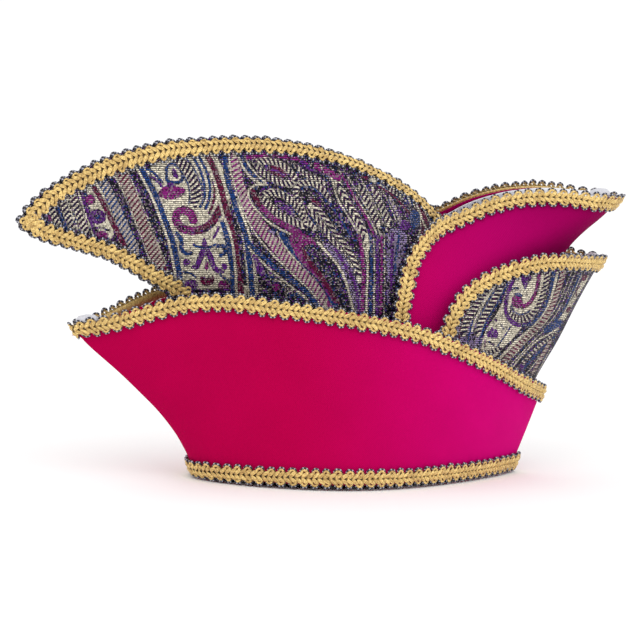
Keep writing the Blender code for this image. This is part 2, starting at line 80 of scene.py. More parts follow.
pinkFrontLine = ((0.010, 0.370), (0.013, 0.493), (0.017, 0.522), (0.021, 0.549), (0.025, 0.590),
                 (0.032, 0.630), (0.041, 0.664), (0.053, 0.694), (0.069, 0.720))
pinkTopLine = ((0.069, 0.720), (0.091, 0.735), (0.117, 0.748), (0.139, 0.759), (0.164, 0.780),
               (0.186, 0.798), (0.213, 0.811), (0.252, 0.824), (0.293, 0.827), (0.336, 0.824),
               (0.381, 0.815), (0.424, 0.807))
pinkSternLine = ((0.289, 0.425), (0.309, 0.536), (0.334, 0.638), (0.356, 0.687), (0.385, 0.733),
                 (0.402, 0.755), (0.424, 0.807))
brocadeFrontLine = ((0.079, 0.310), (0.085, 0.446), (0.094, 0.487), (0.106, 0.522),
                    (0.126, 0.564))
brocadeTopLine = ((0.126, 0.564), (0.155, 0.596), (0.186, 0.619), (0.226, 0.641),
                  (0.269, 0.652), (0.316, 0.648), (0.367, 0.637), (0.402, 0.625))
brocadeSternLine = ((0.262, 0.150), (0.282, 0.217), (0.300, 0.287), (0.333, 0.385),
                    (0.360, 0.487), (0.386, 0.574), (0.402, 0.625))


def unit(vectors):
    # Each vector divided by its own length.
    return vectors / np.maximum(np.linalg.norm(vectors, axis=-1, keepdims=True), 1e-12)


def legs(line):
    # Running length at each point of a line: the sum of the legs before it.
    return np.concatenate(([0.0], np.cumsum(np.linalg.norm(np.diff(line, axis=0), axis=1))))


def resample(line, steps):
    # Points at the given shares of a line's length, straight between its own points.
    along = legs(line)
    return np.stack([np.interp(steps, along / along[-1], line[:, k])
                     for k in range(line.shape[1])], 1)


def smooth(value):
    # 3t^2 - 2t^3 with t held between 0 and 1.
    t = np.clip(value, 0.0, 1.0)
    return t * t * (3.0 - 2.0 * t)


def fillOut(value):
    # 1 - (1 - t)^2 with t held between 0 and 1.
    t = np.clip(value, 0.0, 1.0)
    return 1.0 - (1.0 - t) ** 2


def soften(line, reach):
    # Weighted mean of neighbours, weight exp(-d^2 / 2 reach^2); the ends keep their place.
    total = legs(line)[-1]
    count = int(total / 0.0004) + 8
    even = resample(line, np.linspace(0, 1, count))
    step = total / (count - 1)
    span = min(int(3 * reach / step), count - 2)
    weight = np.exp(-0.5 * (np.arange(-span, span + 1) * step / reach) ** 2)
    before = 2 * even[0] - even[span:0:-1]
    after = 2 * even[-1] - even[-2:-span - 2:-1]
    longer = np.concatenate([before, even, after])
    return np.stack([np.convolve(longer[:, k], weight / weight.sum(), "valid")
                     for k in range(line.shape[1])], 1)


def outline(shares, reach=0.0030):
    # Table of shares to a smooth line in metres.
    return soften(np.array(shares, float) * (hat["length"], hat["height"]), reach)


def curveTable(rows, scale, reach):
    # Table with its first column in metres, softened so that no crease is left at its rows.
    table = np.array(rows, float)
    places = np.linspace(table[0, 0], table[-1, 0], 200)
    fine = np.stack([places] + [np.interp(places, table[:, 0], table[:, k])
                                for k in range(1, table.shape[1])], 1)
    span = int(reach / (places[1] - places[0]))
    weight = np.hanning(2 * span + 3)[1:-1]
    for k in range(1, table.shape[1]):
        longer = np.pad(fine[:, k], span, mode="edge")
        fine[:, k] = np.convolve(longer, weight / weight.sum(), "valid")
    fine[:, 0] *= scale
    return fine


sternTable = curveTable(sternShape, hat["height"], 0.10)
leanTable = curveTable(pinkLean, hat["length"], 0.012)


def makeLayer(offset, front, rear, ridge=None, leanTop=None):
    # One cloth layer: how far it stands out, and its outlines.
    return {"offset": offset, "front": outline(front), "rear": outline(rear),
            "ridge": None if ridge is None else outline(ridge),
            "leanTop": None if leanTop is None else outline(leanTop)}


crestLayer = makeLayer(0.0, hiddenSeamLine + beakLine, crownRearLine, ridgeLine)
pinkLayer = makeLayer(hat["pinkOffset"], bowLine, pinkSternLine, None,
                      pinkFrontLine + pinkTopLine[1:])
brocadeLayer = makeLayer(hat["brocadeOffset"], bowLine, brocadeSternLine)
bandLayer = makeLayer(hat["bandOffset"], bowLine, bandSternLine + bandRakeLine)


def halfWidth(layer, x, z, depth=0.0):
    # Half width = (base (1 - z / tent) + offset - depth), times a fill that goes from 0
    # at the bow seam to 1, times another from the stern seam, each fill 1 - (1 - t)^2 to a
    # power; the crest also closes at its ridge and the pink wing leans in at its top.
    inset = depth * hat["seamInset"] / hat["wall"]
    level = smooth(z / hat["fullness"])
    width = hat["baseHalf"] * (1.0 - z / hat["tent"]) + layer["offset"]
    if layer["ridge"] is not None:
        low = np.clip(1.0 - z / hat["flareHeight"], 0.0, 1.0)
        width = width + (hat["bandOffset"] - hat["wall"] - hat["layerGap"]) * low ** 2
        lean = smooth((x + 0.47 * hat["length"]) / (0.45 * hat["length"]))
        raised = smooth((z - 0.18 * hat["height"]) / (0.37 * hat["height"]))
        width = width * (1.0 - 0.70 * (1.0 - lean) * raised)
    width = np.maximum(width - depth, 0.0)
    front = np.interp(z, layer["front"][:, 1], layer["front"][:, 0]) + inset
    rear = np.interp(z, layer["rear"][:, 1], layer["rear"][:, 0]) - inset
    high = (hat["bowRun"][1], hat["bowSharp"][1]) if layer["ridge"] is None else hat["crestBow"]
    bowRun = hat["bowRun"][0] + (high[0] - hat["bowRun"][0]) * level
    bowSharp = hat["bowSharp"][0] + (high[1] - hat["bowSharp"][0]) * level
    sternRun = np.interp(z, sternTable[:, 0], sternTable[:, 1]) * hat["length"]
    sternSharp = np.interp(z, sternTable[:, 0], sternTable[:, 2])
    if layer["ridge"] is not None:
        upper = smooth((z - 0.42 * hat["height"]) / (0.23 * hat["height"]))
        sternRun = sternRun + (hat["crownRearRun"] - sternRun) * upper
    width = width * fillOut((x - front) / bowRun) ** bowSharp
    width = width * fillOut((rear - x) / sternRun) ** sternSharp
    if layer["ridge"] is not None:
        crest = np.interp(x, layer["ridge"][:, 0], layer["ridge"][:, 1]) - inset
        width = width * fillOut((crest - z) / hat["ridgeRun"]) ** 0.85
    if layer["leanTop"] is not None:
        top = np.interp(x, layer["leanTop"][:, 0], layer["leanTop"][:, 1])
        share = np.interp(x, leanTable[:, 0], leanTable[:, 1])
        width = width * (share + (1.0 - share) * fillOut((top - z) / hat["leanDepth"]))
    return width


def coons(bottom, top, front, rear, across, up):
    # Grid inside four outlines: the two blends of facing sides added, less the blend of
    # the four corners.
    low, high = resample(bottom, across)[None], resample(top, across)[None]
    left, right = resample(front, up)[:, None], resample(rear, up)[:, None]
    s, v = across[None, :, None], up[:, None, None]
    corners = ((1 - s) * (1 - v) * bottom[0] + s * (1 - v) * bottom[-1]
               + (1 - s) * v * top[0] + s * v * top[-1])
    return (1 - v) * low + v * high + (1 - s) * left + s * right - corners


def nearSide(layer, sides, across, up, depth, closed, taper=False):
    # Near half of a layer: the grid in the side view, with Y at minus the half width.
    grid = coons(*sides, across, up)
    width = halfWidth(layer, grid[..., 0], grid[..., 1], depth)
    if taper:
        width = width * fillOut(across / 0.12)[None, :] * fillOut((1 - up) / 0.2)[:, None]
    width = np.maximum(width, hat["leastHalf"])
    for side, place in (("front", np.s_[:, 0]), ("rear", np.s_[:, -1]), ("top", np.s_[-1])):
        if side in closed:
            width[place] = 0.0
    return np.stack([grid[..., 0], -width, grid[..., 1]], -1)


def shiftEnds(line, frontShift, rearShift):
    # Moves the two ends of an outline along X and spreads the move between them.
    share = (line[:, 0] - line[0, 0]) / (line[-1, 0] - line[0, 0])
    moved = line.copy()
    moved[:, 0] += frontShift * (1.0 - share) + rearShift * share
    return moved


def gridFaces(rows, columns, base=0):
    # Four corner numbers of every cell of a grid.
    index = np.arange(rows * columns).reshape(rows, columns) + base
    return np.stack([index[:-1, :-1], index[:-1, 1:], index[1:, 1:], index[1:, :-1]],
                    -1).reshape(-1, 4)


def clothPlace(grid, cell):
    # Lengths along the cloth in metres: along a row from its middle, and up a column.
    middle = grid.shape[1] // 2
    run = np.linalg.norm(np.diff(grid, axis=1), axis=-1).cumsum(axis=1)
    run = np.concatenate([np.zeros((len(grid), 1)), run], 1)
    run = run - run[:, middle:middle + 1] + grid[:, middle:middle + 1, 0]
    climb = np.linalg.norm(np.diff(grid[:, middle], axis=0), axis=-1).cumsum()
    climb = np.concatenate([[0.0], climb])[:, None] + grid[0, middle, 2]
    return np.stack([run, climb + 0.0 * run, np.full(run.shape, cell)], -1)


def addMesh(name, points, quads, tris, fields, material, weld=True):
    # Mesh from whole arrays; points that meet at a seam become one and faces look out.
    points = points + np.array((hat["shift"], 0.0, 0.0))
    mesh = bpy.data.meshes.new(name)
    mesh.vertices.add(len(points))
    mesh.vertices.foreach_set("co", points.astype(np.float32).ravel())
    corners = np.concatenate([quads.ravel(), tris.ravel()])
    starts = np.concatenate([np.arange(len(quads)) * 4,
                             len(quads) * 4 + np.arange(len(tris)) * 3])
    mesh.loops.add(len(corners))
    mesh.loops.foreach_set("vertex_index", corners.astype(np.int32))
    mesh.polygons.add(len(starts))
    mesh.polygons.foreach_set("loop_start", starts.astype(np.int32))
    mesh.update(calc_edges=True)
    for key, values in fields.items():
        made = mesh.attributes.new(key, "FLOAT_VECTOR", "POINT")
        made.data.foreach_set("vector", values.astype(np.float32).ravel())
    if weld:
        solid = bmesh.new()
        solid.from_mesh(mesh)
        bmesh.ops.remove_doubles(solid, verts=solid.verts, dist=3e-6)
        bmesh.ops.recalc_face_normals(solid, faces=solid.faces)
        solid.to_mesh(mesh)
        solid.free()
    mesh.polygons.foreach_set("use_smooth", np.ones(len(mesh.polygons), bool))
    mesh.materials.append(material)
    item = bpy.data.objects.new(name, mesh)
    bpy.context.scene.collection.objects.link(item)
    return item


def shell(name, outer, inner, openSides, fields, innerFields, material, rounds=3):
    # Near grids and their mirror images, with a half circle between the outer and inner
    # edge of each open side: middle + half across cos a + out sin a.
    points, faces = [], []
    values = {key: [] for key in fields}
    base = 0
    for turn in (1.0, -1.0):
        flip = np.array((1.0, turn, 1.0))
        for grid, own in ((outer, fields), (inner, innerFields)):
            points.append((grid * flip).reshape(-1, 3))
            faces.append(gridFaces(*grid.shape[:2], base))
            base += grid.shape[0] * grid.shape[1]
            for key in fields:
                values[key].append(own[key].reshape(-1, 3))
    picks = {"bottom": (np.s_[0], np.s_[1]), "top": (np.s_[-1], np.s_[-2]),
             "front": (np.s_[:, 0], np.s_[:, 1]), "rear": (np.s_[:, -1], np.s_[:, -2])}
    for side in openSides:
        edge, beside = picks[side]
        first, last = outer[edge], inner[edge]
        out = unit(first - outer[beside])
        middle, half = (first + last) * 0.5, (first - last) * 0.5
        angle = np.linspace(0.0, np.pi, rounds + 2)[:, None, None]
        reach = np.linalg.norm(half, axis=-1, keepdims=True)
        rim = middle + half * np.cos(angle) + out * reach * np.sin(angle)
        for turn in (1.0, -1.0):
            points.append((rim * (1.0, turn, 1.0)).reshape(-1, 3))
            faces.append(gridFaces(rounds + 2, len(first), base))
            base += (rounds + 2) * len(first)
            for key in fields:
                values[key].append(np.tile(fields[key][edge], (rounds + 2, 1)))
    return addMesh(name, np.concatenate(points), np.concatenate(faces),
                   np.zeros((0, 3), int), {k: np.concatenate(v) for k, v in values.items()},
                   material)


def wire(tree, kind, values=(), out=0, **settings):
    # New node; values fill its inputs by place or name, each a number or a socket.
    made = tree.nodes.new(kind)
    for key, value in settings.items():
        setattr(made, key, value)
    items = values.items() if isinstance(values, dict) else enumerate(values)
    for key, value in items:
        if isinstance(value, bpy.types.NodeSocket):
            tree.links.new(value, made.inputs[key])
        elif value is not None:
            made.inputs[key].default_value = value
    return made.outputs[out]


def socket(shader, name, value):
    # Sets one of a shader's own inputs, or links it when the value is another socket.
    if isinstance(value, bpy.types.NodeSocket):
        shader.id_data.links.new(value, shader.inputs[name])
    else:
        shader.inputs[name].default_value = value


def newMaterial(name):
    # Empty node tree with a principled shader on the output.
    made = bpy.data.materials.new(name)
    made.use_nodes = True
    tree = made.node_tree
    tree.nodes.clear()
    shader = tree.nodes.new("ShaderNodeBsdfPrincipled")
    end = tree.nodes.new("ShaderNodeOutputMaterial")
    tree.links.new(shader.outputs[0], end.inputs[0])
    return made, tree, shader


def calc(tree, operation, *values):
    # One number from one to three others.
    return wire(tree, "ShaderNodeMath", values, operation=operation)


def blendColor(tree, share, first, second, kind="MIX"):
    # Colour between first and second at the share.
    return wire(tree, "ShaderNodeMix", {0: share, 6: first, 7: second}, 2,
                data_type="RGBA", blend_type=kind)


def cloth(tree):
    # Place on the cloth in millimetres, along and up.
    place = wire(tree, "ShaderNodeAttribute", (), 1, attribute_name="place")
    grown = wire(tree, "ShaderNodeVectorMath", (place, (1000.0, 1000.0, 1.0)),
                 operation="MULTIPLY")
    parts = tree.nodes.new("ShaderNodeSeparateXYZ")
    tree.links.new(grown, parts.inputs[0])
    return grown, parts.outputs[0], parts.outputs[1], parts.outputs[2]


def ease(tree, value, low, high):
    # Smooth step of a value between two limits.
    return wire(tree, "ShaderNodeMapRange", (value, low, high, 0.0, 1.0),
                interpolation_type="SMOOTHSTEP")


# Painted light: the front colour is a darker crimson and the rear colour a brighter pink. The
# wings' rear colour is a painted shade.
twill = {"pitch": 0.62, "lean": 0.9, "front": (0.46, 0.0001, 0.062),
         "rear": (0.66, 0.001, 0.195), "wingRearShade": (0.36, 0.30, 0.34), "roughness": 0.8}


def twillMaterial():
    # Diagonal ridges: sine of (along + lean times up) over the pitch, broken up by noise.
    made, tree, shader = newMaterial("magentaTwill")
    grown, along, up, part = cloth(tree)
    slant = calc(tree, "MULTIPLY_ADD", up, twill["lean"], along)
    wobble = wire(tree, "ShaderNodeTexNoise", {"Vector": grown, "Scale": 0.9, "Detail": 2.0})
    phase = calc(tree, "MULTIPLY_ADD", wobble, 1.2,
                 calc(tree, "MULTIPLY", slant, 2 * math.pi / twill["pitch"]))
    ridge = calc(tree, "MULTIPLY_ADD", calc(tree, "SINE", phase), 0.5, 0.5)
    cloud = wire(tree, "ShaderNodeTexNoise", {"Vector": grown, "Scale": 0.06, "Detail": 3.0})
    fibre = wire(tree, "ShaderNodeTexNoise", {"Vector": grown, "Scale": 3.0, "Detail": 2.0})
    share = calc(tree, "ADD", calc(tree, "MULTIPLY", ridge, 0.45),
                 calc(tree, "MULTIPLY", fibre, 0.5))
    # Painted light: the colour runs from a darker crimson at the front to a brighter pink at the
    # rear.
    dyeAndPaintedLight = blendColor(tree, ease(tree, along, -40.0, 62.0), (*twill["front"], 1),
                     (*twill["rear"], 1))
    dyeAndPaintedLight = blendColor(tree, 1.0, dyeAndPaintedLight, blendColor(tree, share, (0.74, 0.6, 0.70, 1),
                                                (1.10, 1.0, 1.12, 1)), "MULTIPLY")
    tint = blendColor(tree, cloud, (0.90, 0.9, 0.88, 1), (1.07, 1.0, 1.08, 1))
    dyeAndPaintedLight = blendColor(tree, 1.0, dyeAndPaintedLight, tint, "MULTIPLY")
    # Painted shade: the wings darken towards their rear, where they turn away from the light.
    paintedWingShade = calc(tree, "MULTIPLY", calc(tree, "GREATER_THAN", part, 1.5),
                ease(tree, along, -25.0, 95.0))
    socket(shader, "Base Color", blendColor(tree, 1.0, dyeAndPaintedLight, blendColor(
        tree, paintedWingShade, (1, 1, 1, 1), (*twill["wingRearShade"], 1)), "MULTIPLY"))
    socket(shader, "Roughness", calc(tree, "MULTIPLY_ADD", fibre, 0.2, twill["roughness"] - 0.1))
    socket(shader, "Specular IOR Level", 0.02)
    socket(shader, "Sheen Weight", 0.06)
    socket(shader, "Sheen Roughness", 0.4)
    socket(shader, "Sheen Tint", (0.9, 0.0, 0.35, 1))
    height = calc(tree, "MULTIPLY_ADD", fibre, 0.5, ridge)
    socket(shader, "Normal", wire(tree, "ShaderNodeBump",
                                  {"Strength": 0.35, "Distance": 0.00012, "Height": height}))
    return made


# The fold colour is a painted shade: the same white felt drawn darker grey where its roll lies in
# shade.
felt = {"color": (0.90, 0.90, 0.92), "foldShadeColor": (0.48, 0.47, 0.51), "roughness": 0.9}


def feltMaterial(name, color):
    # Felt of a given colour: base (fine noise) times tint (wide noise); fine noise lifts it.
    made, tree, shader = newMaterial(name)
    grown = cloth(tree)[0]
    fine = wire(tree, "ShaderNodeTexNoise", {"Vector": grown, "Scale": 2.4, "Detail": 4.0})
    wide = wire(tree, "ShaderNodeTexNoise", {"Vector": grown, "Scale": 0.2, "Detail": 2.0})
    base = blendColor(tree, fine, (0.74, 0.75, 0.79, 1), (*color, 1))
    tint = blendColor(tree, wide, (0.93, 0.93, 0.95, 1), (1, 1, 1, 1))
    socket(shader, "Base Color", blendColor(tree, 1.0, base, tint, "MULTIPLY"))
    socket(shader, "Roughness", felt["roughness"])
    socket(shader, "Sheen Weight", 0.2)
    socket(shader, "Normal", wire(tree, "ShaderNodeBump",
                                  {"Strength": 0.5, "Distance": 0.0002, "Height": fine}))
    return made


# Woven figures of the crest and of the brocade wing, a row for each stroke or patch: kind,
# color, half width in millimetres and places as X,Z in millimetres in the side view. A
# later row covers the rows before it. Colors: d ground, b blue, r burgundy, m magenta,
# p purple, c cream, l lilac.
crestFigure = (
    ("fill", "d", 0, "-116.9,82.2 -87.2,96.4 -54.4,102.4 -40.8,102.8 -40.9,57.5 -62.7,58.9 "
     "-84.1,72.3"),
    ("fill", "l", 0, "-112.3,82.7 -108.4,86.5 -105.4,84.6 -105.8,80.7 -110.2,79.3"),
    ("rope", "c", 1.1, "-104.9,86.5 -103.8,82.6 -101.8,78.8"),
    ("rope", "c", 1.2, "-101.4,89.3 -100.1,84.6 -97.7,78.3"),
    ("rope", "c", 1.3, "-98.4,90.8 -96.4,84.6 -93.4,77.3"),
    ("line", "m", 0.35, "-106.4,84.6 -104.8,81.7 -103.8,79.8"),
    ("line", "b", 0.35, "-103.4,88.4 -101.9,83.6 -99.5,78.3"),
    ("line", "c", 0.25, "-100.1,90.3 -98.4,84.6 -95.7,77.8"),
    ("line", "p", 0.5, "-95.3,91.5 -93.4,84.5 -90.1,76.3"),
    ("line", "c", 0.3, "-96.1,90.8 -94.3,84.5 -91,76.3"),
    ("fill", "c", 0, "-93.8,92.2 -91.8,92.7 -87.4,85.5 -83.6,75.8 -87,75.3 -91.3,79.7"),
    ("fill", "m", 0, "-93.9,88.8 -91.1,89.3 -90.4,86.5 -93.4,86"),
    ("fill", "p", 0, "-92.6,83.6 -89.9,85 -87.4,83.6 -87.1,81.2 -89.8,79.7 -92.1,81.2"),
    ("fill", "b", 0, "-90.6,83.1 -89.1,83.1 -89.1,81.7 -90.6,81.7"),
    ("fill", "m", 0, "-90.7,77.3 -87.7,78.3 -85.6,76.3 -88.4,74.8"),
    ("line", "d", 0.25, "-91.8,78.8 -88.8,79.1 -86.2,78.3"),
    ("line", "c", 1.2, "-91.6,93.6 -87.4,86.4 -84.1,79.7 -79.4,72.3"),
    ("line", "r", 0.75, "-92.3,93.5 -88,86.5 -84.7,79.7 -80.1,72.3"),
    ("rope", "b", 1.6, "-88.3,93.6 -84.9,86.9 -81.8,79.7 -77,71.3"),
    ("line", "d", 1.2, "-86.5,95.3 -81.4,87.9 -78,79.7 -73.6,69.8"),
    ("line", "c", 0.7, "-84.5,96.3 -79.6,86.5 -76.3,77.8 -71,67.3"),
    ("line", "c", 2.2, "-82.5,96.7 -77.5,85 -73.5,75.4 -68.3,65.9"),
    ("rope", "r", 1.7, "-82.5,96.7 -77.5,85 -73.5,75.4 -68.3,65.9"),
    ("line", "d", 1.1, "-79.7,98.3 -75.8,92.6 -71.8,83.6 -67.9,73.4 -64,62.9"),
    ("line", "c", 1.65, "-76.4,98.2 -71.8,89.8 -68.2,80.3 -65,72.4 -61.5,60.4"),
    ("line", "b", 0.8, "-76.4,98.2 -71.8,89.8 -68.2,80.3 -65,72.4 -61.5,60.4"),
    ("fill", "c", 0, "-74.6,100.6 -57,101.6 -53,91.8 -51,82.8 -48.5,72.2 -46.4,58.8 -59.6,58.5 "
     "-63.1,69.9 -66.4,79.8 -70.1,88.4"),
    ("fill", "r", 0, "-75.3,100.6 -68.6,100.9 -70.5,98.8 -74.4,98.8"),
    ("line", "b", 0.35, "-74.3,97.1 -71.9,96 -69.5,93.1"),
    ("line", "p", 0.35, "-73.1,94.8 -70.7,93.6 -69.6,91.7"),
    ("line", "b", 0.45, "-68,93.9 -68.1,97.4 -66,98.9 -63.1,97.6 -62.6,94.1 -65.1,92.6 "
     "-67.8,93.5"),
    ("fill", "p", 0, "-66.1,97.4 -64.7,96.7 -64.1,94.1 -65.5,94.3 -66.4,96"),
    ("fill", "m", 0, "-70.8,90.3 -68.3,92.2 -62.7,91.7 -62.1,89.9 -66,87.5 -70.1,88.3"),
    ("fill", "p", 0, "-68.1,92.9 -66.3,93.2 -65.4,91.7 -67.6,91.5"),
    ("line", "b", 2.2, "-64.1,100.5 -61.2,96.9 -59.2,92.7 -58.8,88.5 -59.7,85.1"),
    ("rope", "c", 1.7, "-64.1,100.5 -61.2,96.9 -59.2,92.7 -58.8,88.5 -59.7,85.1"),
    ("line", "c", 2.4, "-57.2,101.9 -55,96.9 -54.3,92.7 -54.7,88.5 -56.3,85.2"),
    ("line", "b", 0.4, "-59.5,101.3 -57.4,97.4 -56.2,92.7 -56.3,88.5 -57.8,85.6"),
    ("line", "b", 0.4, "-57.6,101.5 -55.5,97.4 -54.5,92.7 -54.7,88.5 -56.1,85.2"),
    ("line", "r", 0.35, "-56.2,101.6 -53.9,96.9 -53.1,91.8 -53.4,87.6 -55,83.7"),
    ("line", "c", 2, "-60.2,82 -60.9,84.2 -63.3,85.1 -65.4,83.7 -65.5,80.7 -62.8,78.4 -58.5,78 "
     "-54.4,80.2 -51.7,84.7 -50.7,90.4 -51.6,96 -53.9,101.8"),
    ("line", "m", 1.25, "-59.8,81.4 -60.6,83.8 -63.3,84.8 -65.3,83.5 -65.2,80.7 -62.8,78.5 "
     "-58.5,78.1 -54.4,80.2 -51.8,84.7"),
    ("line", "r", 0.95, "-58.5,78.1 -54.4,80.2 -51.7,84.7 -50.7,90.4 -51.6,96 -53.9,101.8"),
    ("line", "d", 0.25, "-64.3,79.8 -61.3,77.9 -57.5,77.9 -54.2,79.7"),
    ("line", "c", 0.25, "-62.8,82.7 -61.4,80.3 -58,80.1 -55.6,81.8"),
    ("fill", "p", 0, "-57,76 -56,76 -55.3,73.6 -52.7,70.1 -52.1,67.1 -49.4,65.9 -49,64.7 "
     "-52.3,65.1 -54,68.6 -55.4,71.1 -56.4,68.5 -56.9,65.8 -59.5,66.3 -59.2,67.3 -58,67.5 "
     "-57.7,70.5 -56.8,73.3"),
    ("line", "b", 0.35, "-59.4,73.9 -57.8,73.1 -55.9,72.8 -54.1,73.2 -53,74.1"),
    ("line", "b", 0.6, "-64.9,77.4 -63.1,75.2 -63.3,72.5 -61.5,70.9 -59.9,71.1"),
    ("line", "b", 0.6, "-51.9,73.5 -50.1,73.7 -49.4,71.7 -50.8,70.6"),
    ("line", "p", 0.35, "-53.6,76.1 -52.6,78 -52,79.4"),
    ("fill", "p", 0, "-62,69 -60.4,69.5 -59.5,68 -60.8,66.7 -62,67.5"),
    ("fill", "p", 0, "-50.5,67.9 -48.9,68.2 -48.3,66.5 -49.6,65.7"),
    ("fill", "m", 0, "-55.3,68.6 -54.3,68.6 -54,66.4 -54.5,65.6 -55.2,66.3"),
    ("line", "b", 0.3, "-61.3,65 -59.4,65 -57.5,63.5"),
    ("line", "b", 0.3, "-50.6,64.7 -48.9,63.2 -47.4,62.8"),
    ("fill", "r", 0, "-56.2,64.1 -54.2,62.9 -52.3,64.4 -51.5,62.2 -53.6,60.4 -56.1,61.8"),
    ("fill", "p", 0, "-60.9,62.5 -57.5,63 -56.4,60.5 -58,58.7 -60.3,58.9"),
    ("fill", "m", 0, "-50.7,62.7 -47.6,62.3 -47,59.8 -50.2,59.4"),
    ("line", "c", 0.25, "-57,65.1 -56.9,62.1 -53.5,59.9 -51,62.2 -51.8,64.9"),
    ("line", "d", 0.8, "-60.8,59 -53.3,58.8 -46.4,59.3"),
    ("line", "b", 0.8, "-50.8,80.9 -48.8,73.7 -46.9,67.2 -45.5,58.3"),
    ("line", "c", 1.8, "-54.7,101.9 -51.7,94.2 -49.8,84.7 -46.9,77.1 -44.7,67.8 -43.3,58.1"),
    ("line", "r", 0.9, "-54.7,101.9 -51.7,94.2 -49.8,84.7 -46.9,77.1 -44.7,67.8 -43.3,58.1"),
    ("fill", "d", 0, "-48.3,102.3 -27.9,101.7 -6.8,96 15.1,85.2 15.7,80 6.1,69 2.9,51.8 -9.8,53.1 "
     "-21.6,55.7 -42.7,58 -45.5,72.9 -49,84.8"),
    ("line", "c", 1.41, "-48.4,102.3 -49.1,95.4 -47.6,89.6 -45.8,83.3 -43.7,78.2 -42.8,72.9 "
     "-41.8,68.3 -40,58.5"),
    ("line", "b", 0.79, "-48.8,102.3 -49.3,95.4 -47.8,89.6 -46.1,83.3 -44,78.1 -42.9,72.9 "
     "-41.8,68.3 -40,58.5"),
    ("rope", "m", 1.91, "-46.2,100.8 -46,92.7 -43.1,85.7 -39,79.4 -34.8,74.6 -29.4,69 -22.3,62.2 "
     "-17.7,56.2"),
    ("line", "c", 0.33, "-47.6,101.5 -47.6,95.4 -46.4,90 -44,83.3 -40.6,77 -35,71 -28.3,64.9 "
     "-21.6,58.9 -20,55.8"),
    ("line", "b", 0.62, "-43.3,75.3 -38.1,70.3 -31.9,65.5 -27,62.1 -22.4,58.1 -20.8,55.7"),
    ("line", "c", 0.33, "-42.8,73.7 -38.8,69.2 -33,64.4 -28.8,61.2 -23.9,57.3"),
    ("line", "c", 0.33, "-34.1,78.2 -31.8,73.9 -27.8,69.4 -22.8,65.2 -18.1,59.8 -16.3,55.8"),
    ("line", "b", 0.91, "-32.6,77.5 -29.7,73.1 -24.6,67.9 -19.6,63.1 -15.3,55.9"),
    ("line", "l", 0.37, "-36.8,78.6 -35.2,78.2 -34.6,77.1"),
    ("line", "c", 0.37, "-44.7,101.1 -43.6,97.3 -40.8,93.9 -37.2,92.7"),
    ("line", "b", 0.42, "-43.5,100.8 -42.6,97.7 -40.1,94.7 -37.5,93.3"),
    ("line", "c", 0.33, "-42.6,101.1 -41.5,98.1 -39.3,95.4 -36.8,93.1"),
    ("line", "c", 0.37, "-36.6,92.7 -40.3,92.6 -42.7,91.2 -42.8,88.7 -40.7,85.1 -37.3,81.8 "
     "-33.4,79.2 -29.3,77.5"),
    ("line", "r", 0.83, "-41.4,90.6 -40,87.3 -36.7,84"),
    ("line", "m", 1, "-38.5,85.3 -35.3,82.8 -31.3,80 -27.3,78.1"),
    ("rope", "c", 1.08, "-39.4,99.2 -35.7,99.8 -31.6,99.1 -28.2,96.5 -26.7,93.3 -30.6,92.7 "
     "-34.3,94.1 -37.6,96.2 -39.4,99.2"),
    ("fill", "r", 0, "-36.9,98 -33,98.2 -30.3,96.9 -29,94.8 -31.5,94.7 -34.7,95.8"),
    ("line", "p", 0.33, "-36.1,97.5 -33.3,96.9 -30.6,95.4"),
    ("rope", "c", 1.16, "-38.3,89.3 -35.4,90.4 -31.7,89.7 -28.4,87.2 -25.5,83.4 -24.4,79.9 -28,81 "
     "-32.5,83 -36.4,85.9 -38.3,89.3"),
    ("fill", "p", 0, "-35.1,88.1 -32.3,87.7 -29.5,85.4 -27.6,82.6 -30.8,84 -34,86.2"),
    ("fill", "d", 0, "-34.3,87.7 -32.7,87.3 -31.2,85.8 -33.2,86.2"),
    ("rope", "c", 1, "-27.7,88.1 -27.8,91.6 -25,93.3 -21.5,93.2 -18.8,91.5 -17.2,88.1"),
    ("rope", "c", 0.83, "-26.2,98 -23.3,95.3 -20,94.5 -18.1,93"),
    ("rope", "c", 0.83, "-26.7,88.1 -25.5,83.4 -22.3,79.5"),
    ("line", "d", 1.41, "-24.7,90.8 -22.1,89.6 -19.1,86.5 -15.9,83.4 -12.7,79.4 -11.1,76.3"),
    ("line", "b", 0.25, "-25.7,91.6 -23.5,92.1 -20.6,91.1 -18,88.1 -13.8,82.6 -10.7,77.1"),
    ("fill", "r", 0, "-23.9,88.9 -21,88.1 -19.5,86.2 -22,86.2"),
    ("feather", "c", 1.91, "-22.5,85.4 -19.3,81.8 -16.2,77.1 -12.9,73.5 -10.7,69.6 -8.3,64.4"),
    ("line", "d", 0.21, "-21.3,84.2 -18.5,80.7 -15.4,75.9 -12.1,72 -9.6,67.2"),
    ("line", "c", 0.33, "-15,94.8 -14.2,88 -11.1,83 -7.7,77.6 -5.8,72.3 -5.1,67.1"),
    ("feather", "c", 1.33, "-13.1,93.3 -11.6,88 -8.3,82.9 -6,77.4 -4.9,73.9"),
    ("line", "c", 0.29, "-11.5,96.5 -8.5,89.8 -4.7,83.6 -1.9,78.2 -0.9,73"),
    ("line", "m", 0.37, "-10.9,95.4 -8.3,88.7 -5.2,82.9 -3,77.8"),
    ("line", "c", 0.25, "-9.2,95 -6.1,88.6 -3,82.8 -0.6,77.4"),
    ("rope", "c", 1.25, "-5.1,91.5 -3.4,86.3 -1.3,80.9"),
    ("line", "c", 0.25, "-4.5,94.2 -2.3,88.8 -0.3,83.2 1.8,78.5"),
    ("rope", "c", 1.25, "-0.3,90.6 0.9,85.4 2.8,80.8"),
    ("line", "c", 0.25, "2.5,90.8 4.1,86 5.6,80.7"),
    ("rope", "l", 0.75, "4.8,88.1 6.2,84.4 6.8,80.6"),
